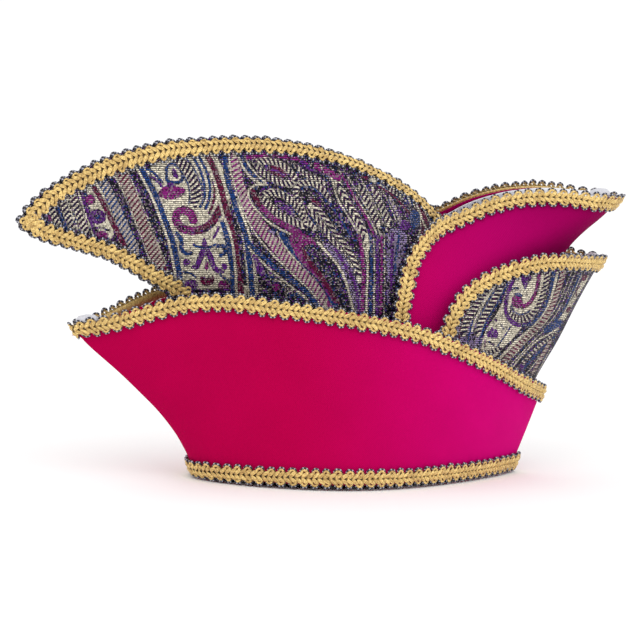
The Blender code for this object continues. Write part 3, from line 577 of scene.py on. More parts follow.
    ("line", "r", 0.29, "1.5,91.6 6.6,88.8 11.1,83.4"),
    ("fill", "p", 0, "6.5,84.7 8.3,84.6 8.2,83.4 6.4,83.3"),
    ("fill", "p", 0, "6.4,81.4 10.5,81.5 10.3,78.9 6.3,78.4"),
    ("fill", "b", 0, "11.9,84.4 15.8,83.7 15.1,80.1 11.2,78.2 10.5,81.2"),
    ("line", "m", 0.58, "-41.9,100.5 -36.6,101.4 -30.3,101 -25.6,100.2 -22.5,98.8"),
    ("line", "p", 0.42, "-24,99.6 -22,97.2 -20.4,96.4"),
    ("line", "m", 1.08, "-19.1,98 -15.9,96.5 -12.6,94.5"),
    ("line", "c", 0.25, "-17.8,98.5 -17.3,96.3"),
    ("fill", "m", 0, "-30.6,77.7 -25.6,78.1 -21.2,75.1 -22.3,71.1 -19.3,65.9 -15.5,61.1 "
     "-13.5,55.5 -15.7,56.2 -20.4,63.5 -26.2,68.6 -29.3,73.1"),
    ("fill", "r", 0, "-26.9,73.9 -24.1,73.1 -22.3,69.9 -18.9,65.1 -14.6,59.5 -13.3,55.5 "
     "-15.3,56.3 -19.6,63.1 -24.6,68.7"),
    ("fill", "d", 0, "-25.9,74.7 -21.2,74.4 -18.3,70.7 -14.1,65.1 -10.4,55.1 -13.1,55.1 "
     "-16.7,61.1 -20.5,66.7 -24.3,70.7"),
    ("fill", "l", 0, "-20,75.3 -14.2,73.2 -10.6,67.6 -7.9,62 -6.9,54 -9.4,53.9 -11.5,61.9 "
     "-14.9,67.9 -18.7,72.4"),
    ("line", "p", 0.5, "-15.9,73.2 -11.7,67.2 -8.6,61.1 -8,54"),
    ("line", "c", 0.46, "-21.4,75.1 -18.3,72.2 -13.9,67.2 -11.3,61.1 -9.7,54.3"),
    ("line", "m", 0.58, "-7.7,77.1 -6.9,71.1 -6.4,63.2 -6.9,54"),
    ("line", "c", 0.37, "-5.4,77 -5.1,69.1 -5.4,61.2 -5.5,53.2"),
    ("line", "b", 0.42, "-4.1,77 -3.9,69.1 -4.1,61.2 -4.3,53.2"),
    ("line", "c", 0.25, "-3,77 -3,69.1 -3.1,53.2"),
    ("line", "p", 0.5, "-1.7,77 -1.9,69.1 -2,53.2"),
    ("line", "m", 0.37, "-0.3,77 -0.6,69.1 -0.9,53.1"),
    ("line", "c", 0.21, "0.7,77.7 0.4,69.1 0.2,53.1"),
    ("fill", "l", 0, "1.2,78.5 5.1,79.6 9,77.5 7.2,72.9 4.7,65.1 3.3,53.1 0.9,53.1"),
    ("line", "p", 0.58, "3.5,77.7 2.7,69.1 2.1,53.5"),
    ("line", "b", 0.42, "5.9,78.4 4.8,73 3.5,65.1"),
    ("fill", "p", 0, "-41.9,71.7 -39.6,70.5 -36.5,65.2 -37.6,64.3 -39.6,65.5 -40.9,68"),
    ("line", "c", 0.25, "-42.2,72.9 -39.9,66.3 -38.8,62.2 -38.4,58.5"),
    ("line", "b", 0.33, "-36.4,64.4 -33.7,63.6 -30.7,61.2"),
    ("fill", "m", 0, "-34.7,61.7 -32.4,62 -31.8,60.1 -33.8,59.5"),
    ("line", "c", 0.25, "-37.5,62.7 -34.8,63.6 -32.1,62.8 -29.5,60.2"),
    ("line", "c", 0.25, "-30.1,58.7 -28.3,60.2 -25.5,59.3 -23.5,56.9"),
    ("line", "b", 0.37, "-29.3,57.9 -27.4,59 -25.1,57.3"),
    ("line", "c", 0.21, "-37.6,61 -36,59.8 -34.5,60.3"),
    # Painted shadow: a dark stroke of the ground colour on the crest beside the pink wing's front
    # edge.
    ("line", "d", 1.3, "8.9,72.9 7.9,70.6 6.0,65.9 3.8,61.1 2.7,55.9 2.3,51.5"),
)


wingFigure = (
    ("fill", "d", 0, "15.2,48.3 26.7,61.5 41.6,65.3 77.6,64.8 79.4,58.1 62.2,25.8 15.1,45"),
    ("fill", "l", 0, "19.7,45.2 22,51.5 26.6,50.7 31.9,49.8 32,45.7 31.2,39.9 24.8,42.3"),
    ("line", "r", 0.42, "25.4,54.7 24,50.1 23,44.7"),
    ("line", "b", 0.32, "27.8,50.7 26.7,46.6 26.4,42.5"),
    ("rope", "c", 1.34, "32.3,60.5 28.4,55.1 25.8,50.8 24.7,47.4"),
    ("line", "c", 0.46, "35.7,61.7 31.4,56.4 28.7,50.7 27.9,47.9"),
    ("line", "b", 0.28, "36.9,62.1 32.6,56.4 30,50.6"),
    ("rope", "c", 1.27, "38.4,61.7 34.7,56.3 31.2,50.9 30.1,47.2"),
    ("line", "b", 0.35, "39.9,62.3 36.9,56.6 33.4,51.2 31.6,47.1 30.9,43.4"),
    ("fill", "c", 0, "40.3,63 42.3,64.1 51.7,65.3 53.7,65.4 54,56.3 50.8,51.5 46.2,46.2 36.6,37.6 "
     "31.2,39.9 32.1,45.4 33,48.1 37.9,54.4"),
    ("line", "b", 0.25, "42.9,48.5 39.4,43.9 35.4,39.6"),
    ("fill", "p", 0, "33.6,48 34.8,47.6 35.3,49.2 36.3,47.9 37.3,48.2 38.2,46.1 37.6,45.1 35,45.4 "
     "33.3,46.2"),
    ("line", "m", 0.21, "33.1,45 33.1,42.6"),
    ("line", "d", 0.28, "34,44.2 35.5,43.8 36.6,43"),
    ("line", "p", 0.21, "36.4,51.5 37.1,50.6"),
    ("line", "b", 0.25, "38.9,49.5 40.1,48"),
    ("rope", "c", 0.92, "39.6,41.8 35.3,40.7 32.3,40.9"),
    ("line", "p", 0.71, "42,63.6 40.3,59.6 39.7,55.1 41.2,51.3 45,49 49.6,48.6"),
    ("line", "b", 0.49, "47.8,48.6 51.4,48.6 54.6,51.2"),
    ("fill", "p", 0, "45,65.1 46.6,64 48.5,65.1 48.9,63.2 47.5,62.7 47,60 46.1,61.4 44.9,63.2"),
    ("line", "b", 0.25, "41.7,60.5 43.3,61.2 44.3,60.6"),
    ("fill", "m", 0, "41.9,58.1 43.7,58.7 45.9,57.7 46.7,56.1 46.2,54.5 44.3,54.4 42.2,55.6"),
    ("fill", "b", 0, "42.5,59 44.2,59.6 46,58.6 45.9,57.7 43.7,58.4"),
    ("line", "m", 0.78, "44.6,55.2 47.5,54.7 49.8,56.1 51.2,59 51.6,62.2 51.5,65"),
    ("line", "r", 0.28, "45.1,54.8 48,54.3 50.4,55.9 51.6,59 51.9,62.2"),
    ("rope", "c", 1.27, "42,54.2 44.4,51.4 47.9,50.4 51.3,51.6 53.6,54.9 54.4,59.5 54.8,65.2"),
    ("line", "b", 0.28, "41.9,55.3 43.7,52.9 47.2,52 50,53.2"),
    ("line", "b", 0.71, "51.4,48.6 55.3,51.1 57.3,55.7 57.4,60.4 57.2,65.2"),
    ("line", "c", 0.64, "58.7,65.1 58.6,59.2 57.9,53.1 54,48.4 46.7,44.1 41.5,40.3 38.8,37.3"),
    ("line", "d", 0.32, "50.6,48 45.5,44.9 41.3,42 37.6,38.5"),
    ("rope", "r", 1.27, "61.3,64.9 60.6,59 59.6,52.9 55.5,47.9 48.7,43.2 43.7,39.4 41.2,36.8"),
    ("line", "c", 1.13, "65.9,64.6 64.6,59.7 63.2,53.6 61.2,50.5 56.6,46 51.4,42.6 46.4,38.5 "
     "43.2,35.6"),
    ("line", "d", 0.64, "65.9,64.6 64.6,59.7 63.2,53.6 61.2,50.5 56.6,46 51.4,42.6 46.4,38.5 "
     "43.2,35.6"),
    ("line", "c", 1.06, "69.5,63.6 68.2,57.5 66.6,51.8 63.6,48.8"),
    ("line", "b", 0.64, "69.3,63.7 68.1,57.5 66.3,51.8 63.3,48.9"),
    ("fill", "c", 0, "71.6,63.8 75.8,62.4 71.8,55.9 69,48.9 66.1,47.5 64.7,48.7 67.6,52.8 "
     "70.3,58"),
    ("fill", "r", 0, "70.7,63.5 74.2,63 73.5,60.9 71.1,61.2"),
    ("line", "r", 0.32, "71.4,59.3 69.7,58 71.2,56"),
    ("fill", "r", 0, "68,53.1 70.5,52.4 69,50.4 67.3,51.3"),
    ("fill", "b", 0, "57.5,46.3 60.6,48.5 67.3,48.8 66.7,47 62.9,45.4 58.3,45.1"),
    ("line", "c", 0.39, "65.4,45.8 60,44.3 54.8,42.7 49.3,38.6 45.7,35"),
    ("rope", "c", 0.78, "64.3,44.1 57.6,41.3 52,37.6 48.3,34"),
    ("line", "b", 0.57, "64,43.1 58.1,39.4 53.8,36.3 50.6,33.1"),
    ("fill", "p", 0, "47.9,35.8 49.8,36 51.7,34.7 50.5,33.4 48.8,34.3"),
    ("line", "c", 0.32, "63.2,42.1 59.2,37.5 55.5,33.9 52.9,32.1"),
    ("rope", "r", 1.06, "62.4,41.8 59.5,36.7 57.2,32.3"),
    ("line", "c", 0.32, "63.7,39.1 61.5,34.6 59.7,30.8"),
)

inks = {"b": (0.010, 0.046, 0.20), "r": (0.13, 0.003, 0.045), "m": (0.24, 0.012, 0.18),
        "p": (0.11, 0.015, 0.21), "c": (0.82, 0.75, 0.59), "l": (0.27, 0.20, 0.40)}
weave = {"reach": 1.0, "rib": 0.62, "thread": 0.36, "rung": 1.45, "jitter": 0.30, "shrink": 0.08,
         "ground": (0.010, 0.008, 0.022), "back": (0.10, 0.07, 0.11), "roughness": 0.5}


def rounded(line, closed):
    # Corner cutting, twice: each leg a to b gives 3/4 a + 1/4 b and 1/4 a + 3/4 b.
    for _ in range(2):
        if closed:
            line = np.concatenate([line, line[:1]])
        cut = np.stack([0.75 * line[:-1] + 0.25 * line[1:],
                        0.25 * line[:-1] + 0.75 * line[1:]], 1).reshape(-1, 2)
        line = cut if closed else np.concatenate([line[:1], cut, line[-1:]])
    return line


def besideLine(spots, line):
    # Of the nearest leg: distance |p - a - t w|, run so far plus t, and distance to its left.
    best, run, side = np.full(len(spots), 1e9), np.zeros(len(spots)), np.zeros(len(spots))
    total = 0.0
    for first, last in zip(line[:-1], line[1:]):
        length = max(float(np.hypot(*(last - first))), 1e-9)
        way = (last - first) / length
        away = spots - first
        t = np.clip(away @ way, 0.0, length)
        gap = np.hypot(*(away - t[:, None] * way).T)
        closer = gap < best
        best = np.where(closer, gap, best)
        run = np.where(closer, total + t, run)
        side = np.where(closer, away @ np.array((-way[1], way[0])), side)
        total += length
    return best, run, side


def within(spots, line):
    # Even and odd rule: how many sides of the closed line lie on one side along X.
    odd = np.zeros(len(spots), bool)
    for first, last in zip(line, np.roll(line, -1, axis=0)):
        rise = last[1] - first[1]
        if rise == 0.0:
            continue
        crossed = (spots[:, 1] < first[1]) != (spots[:, 1] < last[1])
        place = first[0] + (spots[:, 1] - first[1]) / rise * (last[0] - first[0])
        odd ^= crossed & (spots[:, 0] < place)
    return odd


def figureFields(grid, figure, moves):
    # Depth inside each color in millimetres: a row gives its own color max(old, depth) and
    # every other color min(old, -depth). Ropes keep their run and their slant as well.
    spots = grid[..., (0, 2)].reshape(-1, 2) * 1000.0
    reach, names = weave["reach"], list(inks)
    depths = np.full((len(spots), 7), -reach)
    thread = np.zeros((len(spots), 2))
    for move in moves:
        for kind, ink, half, text in figure:
            line = np.array([place.split(",") for place in text.split()], float) + move
            line = rounded(line, kind == "fill")
            low, high = line.min(axis=0) - half - reach, line.max(axis=0) + half + reach
            near = np.nonzero(((spots > low) & (spots < high)).all(axis=1))[0]
            if len(near) == 0:
                continue
            if kind == "fill":
                gap, run, side = besideLine(spots[near], np.concatenate([line, line[:1]]))
                depth = np.where(within(spots[near], line), gap, -gap)
            else:
                gap, run, side = besideLine(spots[near], line)
                depth = half - gap
            depth = np.clip(depth, -reach, reach)
            own = depths[near]
            mine = np.array([name == ink for name in names] + [kind in ("rope", "feather")])
            if mine[6]:
                take = (depth > -0.7) & (depth >= own[:, 6])
                slant = -0.8 * np.abs(side) if kind == "feather" else 0.5 * side
                run = run * (0.68 if kind == "feather" else 1.0)
                thread[near[take]] = np.stack([run, slant], 1)[take]
            depths[near] = np.where(mine, np.maximum(own, depth[:, None]),
                                    np.minimum(own, -depth[:, None]))
    shape = grid.shape[:2] + (3,)
    return {"inkA": depths[:, 0:3].reshape(shape), "inkB": depths[:, 3:6].reshape(shape),
            "inkC": np.column_stack([depths[:, 6:], thread]).reshape(shape)}


def brocadeFields(grid, figure=None, moves=((0.0, 0.0),)):
    # Side view place for the ribs, and the colors; without a figure it is the wrong side.
    flat = np.stack([grid[..., 0], grid[..., 2], np.full(grid.shape[:2], figure is None)], -1)
    made = {"place": flat}
    made.update(figureFields(grid, figure or (), moves))
    return made


def splitField(tree, name):
    # The three numbers of one attribute.
    parts = tree.nodes.new("ShaderNodeSeparateXYZ")
    tree.links.new(wire(tree, "ShaderNodeAttribute", (), 1, attribute_name=name),
                   parts.inputs[0])
    return list(parts.outputs)


def brocadeMaterial():
    # Ground with stray threads, then each woven color where its depth plus a jitter of the
    # thread row is above zero, then the rungs of the ropes: sine of run plus slant. Ribs are
    # a sine of the height over the rib pitch.
    made, tree, shader = newMaterial("brocade")
    grown, along, up, back = cloth(tree)
    step = (weave["thread"], 0.5 * weave["rib"], 1.0)
    snapped = wire(tree, "ShaderNodeVectorMath", (grown, step), operation="SNAP")
    cell = wire(tree, "ShaderNodeTexWhiteNoise", {"Vector": snapped}, 1,
                noise_dimensions="3D")
    parts = tree.nodes.new("ShaderNodeSeparateXYZ")
    tree.links.new(cell, parts.inputs[0])
    pick, stray, waver = parts.outputs
    wide = wire(tree, "ShaderNodeTexNoise", {"Vector": grown, "Scale": 0.12, "Detail": 3.0})
    fibre = wire(tree, "ShaderNodeTexNoise", {"Vector": grown, "Scale": 2.6, "Detail": 2.0})
    jitter = calc(tree, "MULTIPLY_ADD", waver, weave["jitter"], -0.5 * weave["jitter"])
    base = blendColor(tree, fibre, (0.004, 0.004, 0.010, 1), (*weave["ground"], 1))
    threads = blendColor(tree, calc(tree, "GREATER_THAN", pick, 0.45), (*inks["p"], 1),
                         (*inks["b"], 1))
    threads = blendColor(tree, calc(tree, "GREATER_THAN", pick, 0.72), threads,
                         (0.36, 0.32, 0.24, 1))
    base = blendColor(tree, calc(tree, "GREATER_THAN", stray, 0.76), base, threads)
    fields = splitField(tree, "inkA") + splitField(tree, "inkB")
    for depth, name in zip(fields, inks):
        shrink = weave["shrink"] if name == "c" else 0.0
        share = ease(tree, calc(tree, "ADD", depth, jitter), shrink - 0.07, shrink + 0.07)
        if name == "c":
            cream = share
        else:
            share = calc(tree, "MULTIPLY", share, calc(
                tree, "GREATER_THAN", stray, 0.40 if name == "l" else 0.14))
        base = blendColor(tree, share, base, (*inks[name], 1))
    rope, run, slant = splitField(tree, "inkC")
    turn = calc(tree, "MULTIPLY", calc(tree, "ADD", run, slant), 2 * math.pi / weave["rung"])
    rung = calc(tree, "GREATER_THAN", calc(tree, "MULTIPLY_ADD", waver, 0.5, calc(
        tree, "SINE", turn)), 0.12)
    rung = calc(tree, "MULTIPLY", rung, calc(tree, "GREATER_THAN", rope, 0.10))
    dark = blendColor(tree, calc(tree, "GREATER_THAN", pick, 0.6), (0.016, 0.014, 0.055, 1),
                      (0.08, 0.012, 0.07, 1))
    base = blendColor(tree, rung, base, blendColor(tree, cream, (0.58, 0.50, 0.42, 1), dark))
    fleck = calc(tree, "GREATER_THAN", pick, 0.80)
    base = blendColor(tree, calc(tree, "MULTIPLY", fleck, 0.72), base, blendColor(
        tree, cream, (0.34, 0.29, 0.30, 1), (0.035, 0.025, 0.06, 1)))
    base = blendColor(tree, back, base, blendColor(tree, fibre, (0.03, 0.02, 0.05, 1),
                                                   (*weave["back"], 1)))
    rib = calc(tree, "MULTIPLY_ADD", calc(tree, "SINE", calc(
        tree, "MULTIPLY", up, 2 * math.pi / weave["rib"])), 0.5, 0.5)
    light = calc(tree, "MULTIPLY_ADD", rib, 1.00, 0.22)
    light = calc(tree, "MULTIPLY", light, calc(tree, "MULTIPLY_ADD", wide, 0.7, 0.60))
    light = calc(tree, "MULTIPLY", light, calc(tree, "MULTIPLY_ADD", fibre, 0.6, 0.65))
    light = calc(tree, "MULTIPLY", light, calc(tree, "MULTIPLY_ADD", stray, 0.8, 0.50))
    base = blendColor(tree, 1.0, base, wire(
        tree, "ShaderNodeCombineXYZ", (light, light, light)), "MULTIPLY")
    socket(shader, "Base Color", base)
    socket(shader, "Roughness", calc(tree, "MULTIPLY_ADD", fibre, 0.25,
                                     weave["roughness"] - 0.12))
    socket(shader, "Metallic", calc(tree, "MULTIPLY", cream, 0.3))
    socket(shader, "Specular IOR Level", 0.10)
    height = calc(tree, "MULTIPLY_ADD", fibre, 0.4, rib)
    socket(shader, "Normal", wire(tree, "ShaderNodeBump",
                                  {"Strength": 0.45, "Distance": 0.00015, "Height": height}))
    return made


def evenPlus(count, curve):
    # Shares from 0 to 1: an even run mixed with half a cosine, which crowds the ends.
    t = np.linspace(0, 1, count)
    return (1 - curve) * t + curve * (0.5 - 0.5 * np.cos(np.pi * t))


crest = {"columns": 290, "rows": 150, "hiddenRows": 10, "innerRows": 8}


def buildCrest(material):
    # Outer skin between seam, ridge and hem; most rows and columns lie where it shows,
    # above the band and ahead of the wings.
    columns = crest["columns"]
    across = np.interp(np.arange(columns), (0, 0.9 * (columns - 1), columns - 1), (0, 0.85, 1))
    rows, hidden = crest["rows"], crest["hiddenRows"]
    up = np.interp(np.arange(rows), (0, hidden, rows - 1), (0, 0.40, 1))
    front, rear = outline(hiddenSeamLine + beakLine, 0.0022), outline(crownRearLine)
    top = outline(ridgeLine)
    bottom = np.array((front[0], rear[0]))
    outer = nearSide(crestLayer, (bottom, top, front, rear), across, up, 0.0,
                     ("front", "rear", "top"))
    hollowFront = outline(hollowFrontLine)
    hollowRear = rear.copy()
    hollowRear[:, 0] -= hat["seamInset"]
    hollowRear[-1, 1] -= hat["seamInset"]
    inside = top[(top[:, 0] > hollowFront[-1, 0] + 0.006)
                 & (top[:, 0] < hollowRear[-1, 0] - 0.002)].copy()
    inside[:, 1] -= 1.4 * hat["seamInset"]
    hollowTop = np.concatenate([hollowFront[-1:], inside, hollowRear[-1:]])
    hollowBottom = np.array((hollowFront[0], hollowRear[0]))
    inner = nearSide(crestLayer, (hollowBottom, hollowTop, hollowFront, hollowRear),
                     across, np.linspace(0, 1, crest["innerRows"]), hat["wall"],
                     ("front", "rear", "top"), True)
    return shell("crest", outer, inner, ("bottom",),
                 brocadeFields(outer, crestFigure, ((68.0, -6.0), (0.0, 0.0))),
                 brocadeFields(inner), material)


band = {"columns": 200, "rows": 40, "edgeDrop": 0.0032, "dropFrom": 0.045, "dropTo": 0.085,
        "foot": 0.0026}


def aboveFoot(line, foot):
    # Part of a rising outline above a height, with its point at that height added.
    place = np.interp(foot, line[:, 1], line[:, 0])
    return np.concatenate([[[place, foot]], line[line[:, 1] > foot + 1e-4]])


def buildBand(material):
    # Near half width on the grid between foot, edge, bow and stern, and its mirror image.
    across, up = evenPlus(band["columns"], 0.6), np.linspace(0, 1, band["rows"])
    front = aboveFoot(outline(bowLine), band["foot"])
    rear = aboveFoot(outline(bandSternLine, 0.001), band["foot"])
    top = outline(bandEdgeLine)
    top[:, 1] -= band["edgeDrop"] * (1 - smooth(
        (top[:, 0] - top[0, 0] - band["dropFrom"]) / (band["dropTo"] - band["dropFrom"])))
    front = np.concatenate([front[front[:, 1] < top[0, 1] - 1e-4], top[:1]])
    grids = []
    for depth in (0.0, hat["wall"]):
        inset = hat["seamInset"] * (depth > 0)
        frontIn, rearIn = front + (inset, 0.0), rear - (inset, 0.0)
        topIn = shiftEnds(top, inset, -inset)
        bottom = np.array((frontIn[0], rearIn[0]))
        grids.append(nearSide(bandLayer, (bottom, topIn, frontIn, rearIn), across, up, depth,
                              ("front", "rear")))
    return shell("lowerBand", *grids, ("bottom", "top"), {"place": clothPlace(grids[0], 0.0)},
                 {"place": clothPlace(grids[1], 1.0)}, material)


wings = {"pink": {"columns": 140, "rows": 70}, "brocade": {"columns": 170, "rows": 120},
         "lining": {"columns": 90, "rows": 24},
         "edgeDrop": 0.0011, "frontIn": 0.0010, "liningDrop": (0.0024, -0.0003)}


def wingGrids(layer, front, top, stern, depth, wall, columns, rows):
    # Outer and inner near grids of a wing, or of a lining inside it.
    even = np.linspace(0, 1, columns)
    across = 0.7 * even + 0.3 * np.sin(0.5 * np.pi * even)
    up = np.linspace(0, 1, rows)
    grids = []
    for reach in (depth, depth + wall):
        inset = reach * hat["seamInset"] / hat["wall"]
        rear = stern - (inset, 0.0)
        topIn = shiftEnds(top, 0.0, -inset)
        bottom = np.array((front[0], rear[0]))
        grids.append(nearSide(layer, (bottom, topIn, front, rear), across, up, reach,
                              ("rear",)))
    return grids


def buildWing(name, kind, layer, frontLine, topLine, sternLine, material):
    # Cloth a little inside the outlines: top lowered by drop times (0.3 + 0.7 risen).
    size = wings[kind]
    front, top, stern = outline(frontLine), outline(topLine), outline(sternLine)
    risen = smooth(legs(top) / legs(top)[-1] / 0.2)
    front += (wings["frontIn"], -0.3 * wings["edgeDrop"])
    top[:, 0] += wings["frontIn"] * (1 - risen)
    top[:, 1] -= wings["edgeDrop"] * (0.3 + 0.7 * risen)
    stern = np.concatenate([stern[stern[:, 1] < top[-1, 1] - 1e-4], top[-1:]])
    grids = wingGrids(layer, front, top, stern,
                      0.0, hat["wall"], size["columns"], size["rows"])
    if kind == "brocade":
        fields = [brocadeFields(grids[0], wingFigure), brocadeFields(grids[1])]
    else:
        fields = [{"place": clothPlace(grid, 2.0 + side)} for side, grid in enumerate(grids)]
    return shell(name, *grids, ("bottom", "top", "front"), *fields, material)


def cutLine(line, low, high):
    # Part of an outline between two X values, with both ends added.
    ends = np.array([[x, np.interp(x, line[:, 0], line[:, 1])] for x in (low, high)])
    keep = line[(line[:, 0] > low + 1e-4) & (line[:, 0] < high - 1e-4)]
    return np.concatenate([ends[:1], keep, ends[1:]])


folds = {"pink": ((0.375, 0.813, 0.0, 0.0), (0.384, 0.814, 3.2, 1.3), (0.394, 0.814, 4.4, 1.8),
                  (0.404, 0.813, 3.6, 1.7), (0.4115, 0.815, 0.0, 0.0)),
         "brocade": ((0.371, 0.626, 0.0, 0.0), (0.378, 0.628, 2.4, 1.1),
                     (0.385, 0.629, 2.8, 1.4), (0.392, 0.628, 2.2, 1.2),
                     (0.3965, 0.627, 0.0, 0.0)),
         "prow": ((-0.471, 0.464, 0.0, 0.0), (-0.465, 0.465, 1.4, 1.1),
                  (-0.452, 0.466, 2.2, 1.5), (-0.440, 0.466, 2.2, 1.3),
                  (-0.430, 0.467, 0.0, 0.0))}


def buildFold(name, rows, material):
    # Rounded roll of lining inside a wing's tip: rings round a line, half wide and high.
    table = np.array(rows)
    steps = np.linspace(0, 1, 40) ** 0.8
    share = np.linspace(0, 1, len(table))
    x, z, half, height = [np.interp(steps, share, table[:, k]) for k in range(4)]
    path = np.stack([x * hat["length"], 0.0 * x, z * hat["height"]], -1)
    points, quads, tris, _ = strand(path, half / 1000.0, height / 1000.0, 16, 0.0, 0.0)
    return addMesh(name, points, quads, tris, {"place": points}, material, weld=False)


def buildWingLining(name, layer, topLine, sternLine, start, drop, material):
    # Strip below the wing's top edge, from start to the stern, as deep as drop.
    size = wings["lining"]
    top = outline(topLine)
    top = cutLine(top, start * hat["length"], top[-1, 0])
    share = legs(top) / legs(top)[-1]
    top[:, 1] -= hat["layerGap"] + np.interp(share, (0, 1), wings["liningDrop"])
    stern = outline(sternLine)
    foot = top[-1, 1] - drop
    keep = stern[(stern[:, 1] > foot + 1e-4) & (stern[:, 1] < top[-1, 1] - 1e-4)]
    footPoint = np.array([[np.interp(foot, stern[:, 1], stern[:, 0]), foot]])
    stern = np.concatenate([footPoint, keep, top[-1:]])
    front = np.array(((top[0, 0], top[0, 1] - drop), (top[0, 0], top[0, 1])))
    grids = wingGrids(layer, front, top, stern, hat["liningDepth"], hat["liningWall"],
                      size["columns"], size["rows"])
    return shell(name, *grids, ("bottom", "top", "front"),
                 {"place": clothPlace(grids[0], 0.0)}, {"place": clothPlace(grids[1], 1.0)},
                 material)


prow = {"foot": 0.30, "end": -0.32, "columns": 70, "rows": 24, "drop": 0.0010}


def buildProwLining(material):
    # Strip inside the band from its bow to end, between foot and the lowered edge.
    bow = outline(bowLine)
    foot, end = prow["foot"] * hat["height"], prow["end"] * hat["length"]
    keep = bow[bow[:, 1] > foot + 1e-4]
    front = np.concatenate([[[np.interp(foot, bow[:, 1], bow[:, 0]), foot]], keep])
    top = cutLine(outline(bandEdgeLine), bow[-1, 0], end)
    top[:, 1] -= hat["layerGap"] + band["edgeDrop"] + prow["drop"]
    front = np.concatenate([front[front[:, 1] < top[0, 1] - 1e-4], top[:1]])
    rear = np.array(((end, foot), (end, top[-1, 1])))
    across, up = np.linspace(0, 1, prow["columns"]) ** 1.5, np.linspace(0, 1, prow["rows"])
    grids = []
    for reach in (hat["liningDepth"], hat["liningDepth"] + hat["liningWall"]):
        inset = reach * hat["seamInset"] / hat["wall"]
        frontIn, topIn = front + (inset, 0.0), shiftEnds(top, inset, 0.0)
        bottom = np.array((frontIn[0], rear[0]))
        grids.append(nearSide(bandLayer, (bottom, topIn, frontIn, rear), across, up, reach,
                              ("front",)))
    return shell("lowerBandLining", *grids, ("bottom", "top", "rear"),
                 {"place": clothPlace(grids[0], 0.0)}, {"place": clothPlace(grids[1], 1.0)},
                 material)


braid = {"pitch": 0.00354, "width": 0.0064, "overhang": 0.0017, "gap": 0.0004,
         "foldIn": 0.0009, "foldWiden": 1.2, "slip": 0.00024, "hemLift": 0.0006,
         "railLift": 0.0008, "turnRun": 0.0016}
braidFoot = ((-0.284, 0.487), (-0.296, 0.505), (-0.308, 0.523))
flip = np.array((1.0, -1.0, 1.0))


def onLayer(layer, points):
    # Side view points put on the near face of a layer.
    width = halfWidth(layer, points[:, 0], points[:, 1])
    return np.stack([points[:, 0], -width, points[:, 1]], 1)


def edgeFrame(layer, line, freeSide, seams):
    # Near side frame along an edge: place, direction to the free side, direction out of
    # the cloth and lift over the cloth's bulge; at a closed seam it turns along the seam.
    travel = unit(np.gradient(line, axis=0))
    inward = np.stack([travel[:, 1], -travel[:, 0]], 1) * freeSide
    leg = legs(line)
    for end, direction in seams.items():
        away = leg if end == 0 else leg[-1] - leg
        share = np.clip(1.0 - away / (2.0 * braid["width"]), 0.0, 1.0)[:, None]
        inward = unit(inward * (1.0 - share) + unit(np.array(direction)) * share)
    reach = braid["width"] - braid["overhang"]
    edge = onLayer(layer, line)
    step = np.full(len(line), reach)
    for _ in range(3):
        inside = onLayer(layer, line + inward * step[:, None])
        step = step * reach / np.linalg.norm(inside - edge, axis=1)
    across = unit(edge - inside)
    tangent = unit(np.gradient(edge, axis=0))
    outward = unit(np.cross(tangent, across))
    outward = outward * np.where(outward[:, 1:2] > 0, -1.0, 1.0)
    middle = onLayer(layer, line + inward * step[:, None] * 0.5)
    bulge = np.sum((middle - (edge + inside) * 0.5) * outward, axis=1)
    lift = 1.1 * np.maximum(bulge, 0.0)
    for end, direction in seams.items():
        beside = 1 if end == 0 else -2
        down = unit(np.array(direction))
        edge[end, 1] = 0.0
        across[end] = (-down[0], 0.0, -down[1])
        outward[end] = unit(outward[beside]
                            - across[end] * np.sum(outward[beside] * across[end]))
        lift[end] = lift[beside]
    return [edge, across, outward, lift]


def mirrored(track):
    # The same stations in reverse order with Y turned round.
    edge, across, outward, lift = track
    return [edge[::-1] * flip, across[::-1] * flip, outward[::-1] * flip, lift[::-1]]


def seamTurn(track, end):
    # Stations that swing the braid round a closed seam, near side to far side.
    edge, across, outward, lift = track
    ahead = np.array((across[end][2], 0.0, -across[end][0]))
    ahead = ahead * (np.sign(ahead[0]) * (-1.0 if end == 0 else 1.0))
    sides = [outward[end], ahead, outward[end] * flip]
    if end == 0:
        sides = sides[::-1]
    turned = np.array([unit(sides[0] + sides[1]), sides[1], unit(sides[1] + sides[2])])
    spread = np.ones((3, 1))
    return [edge[end] * spread, across[end] * spread, turned, lift[end] * spread[:, 0]]


def joined(tracks):
    # Each part of a track put end to end with the same part of the next.
    return [np.concatenate(parts) for parts in zip(*tracks)]


def seamDirection(line, height, rising):
    # Direction along a closed seam from a height, up or down the seam.
    reach = braid["width"] - braid["overhang"]
    far = height + (reach if rising else -reach)
    start = np.interp(height, line[:, 1], line[:, 0])
    return np.interp(far, line[:, 1], line[:, 0]) - start, far - height


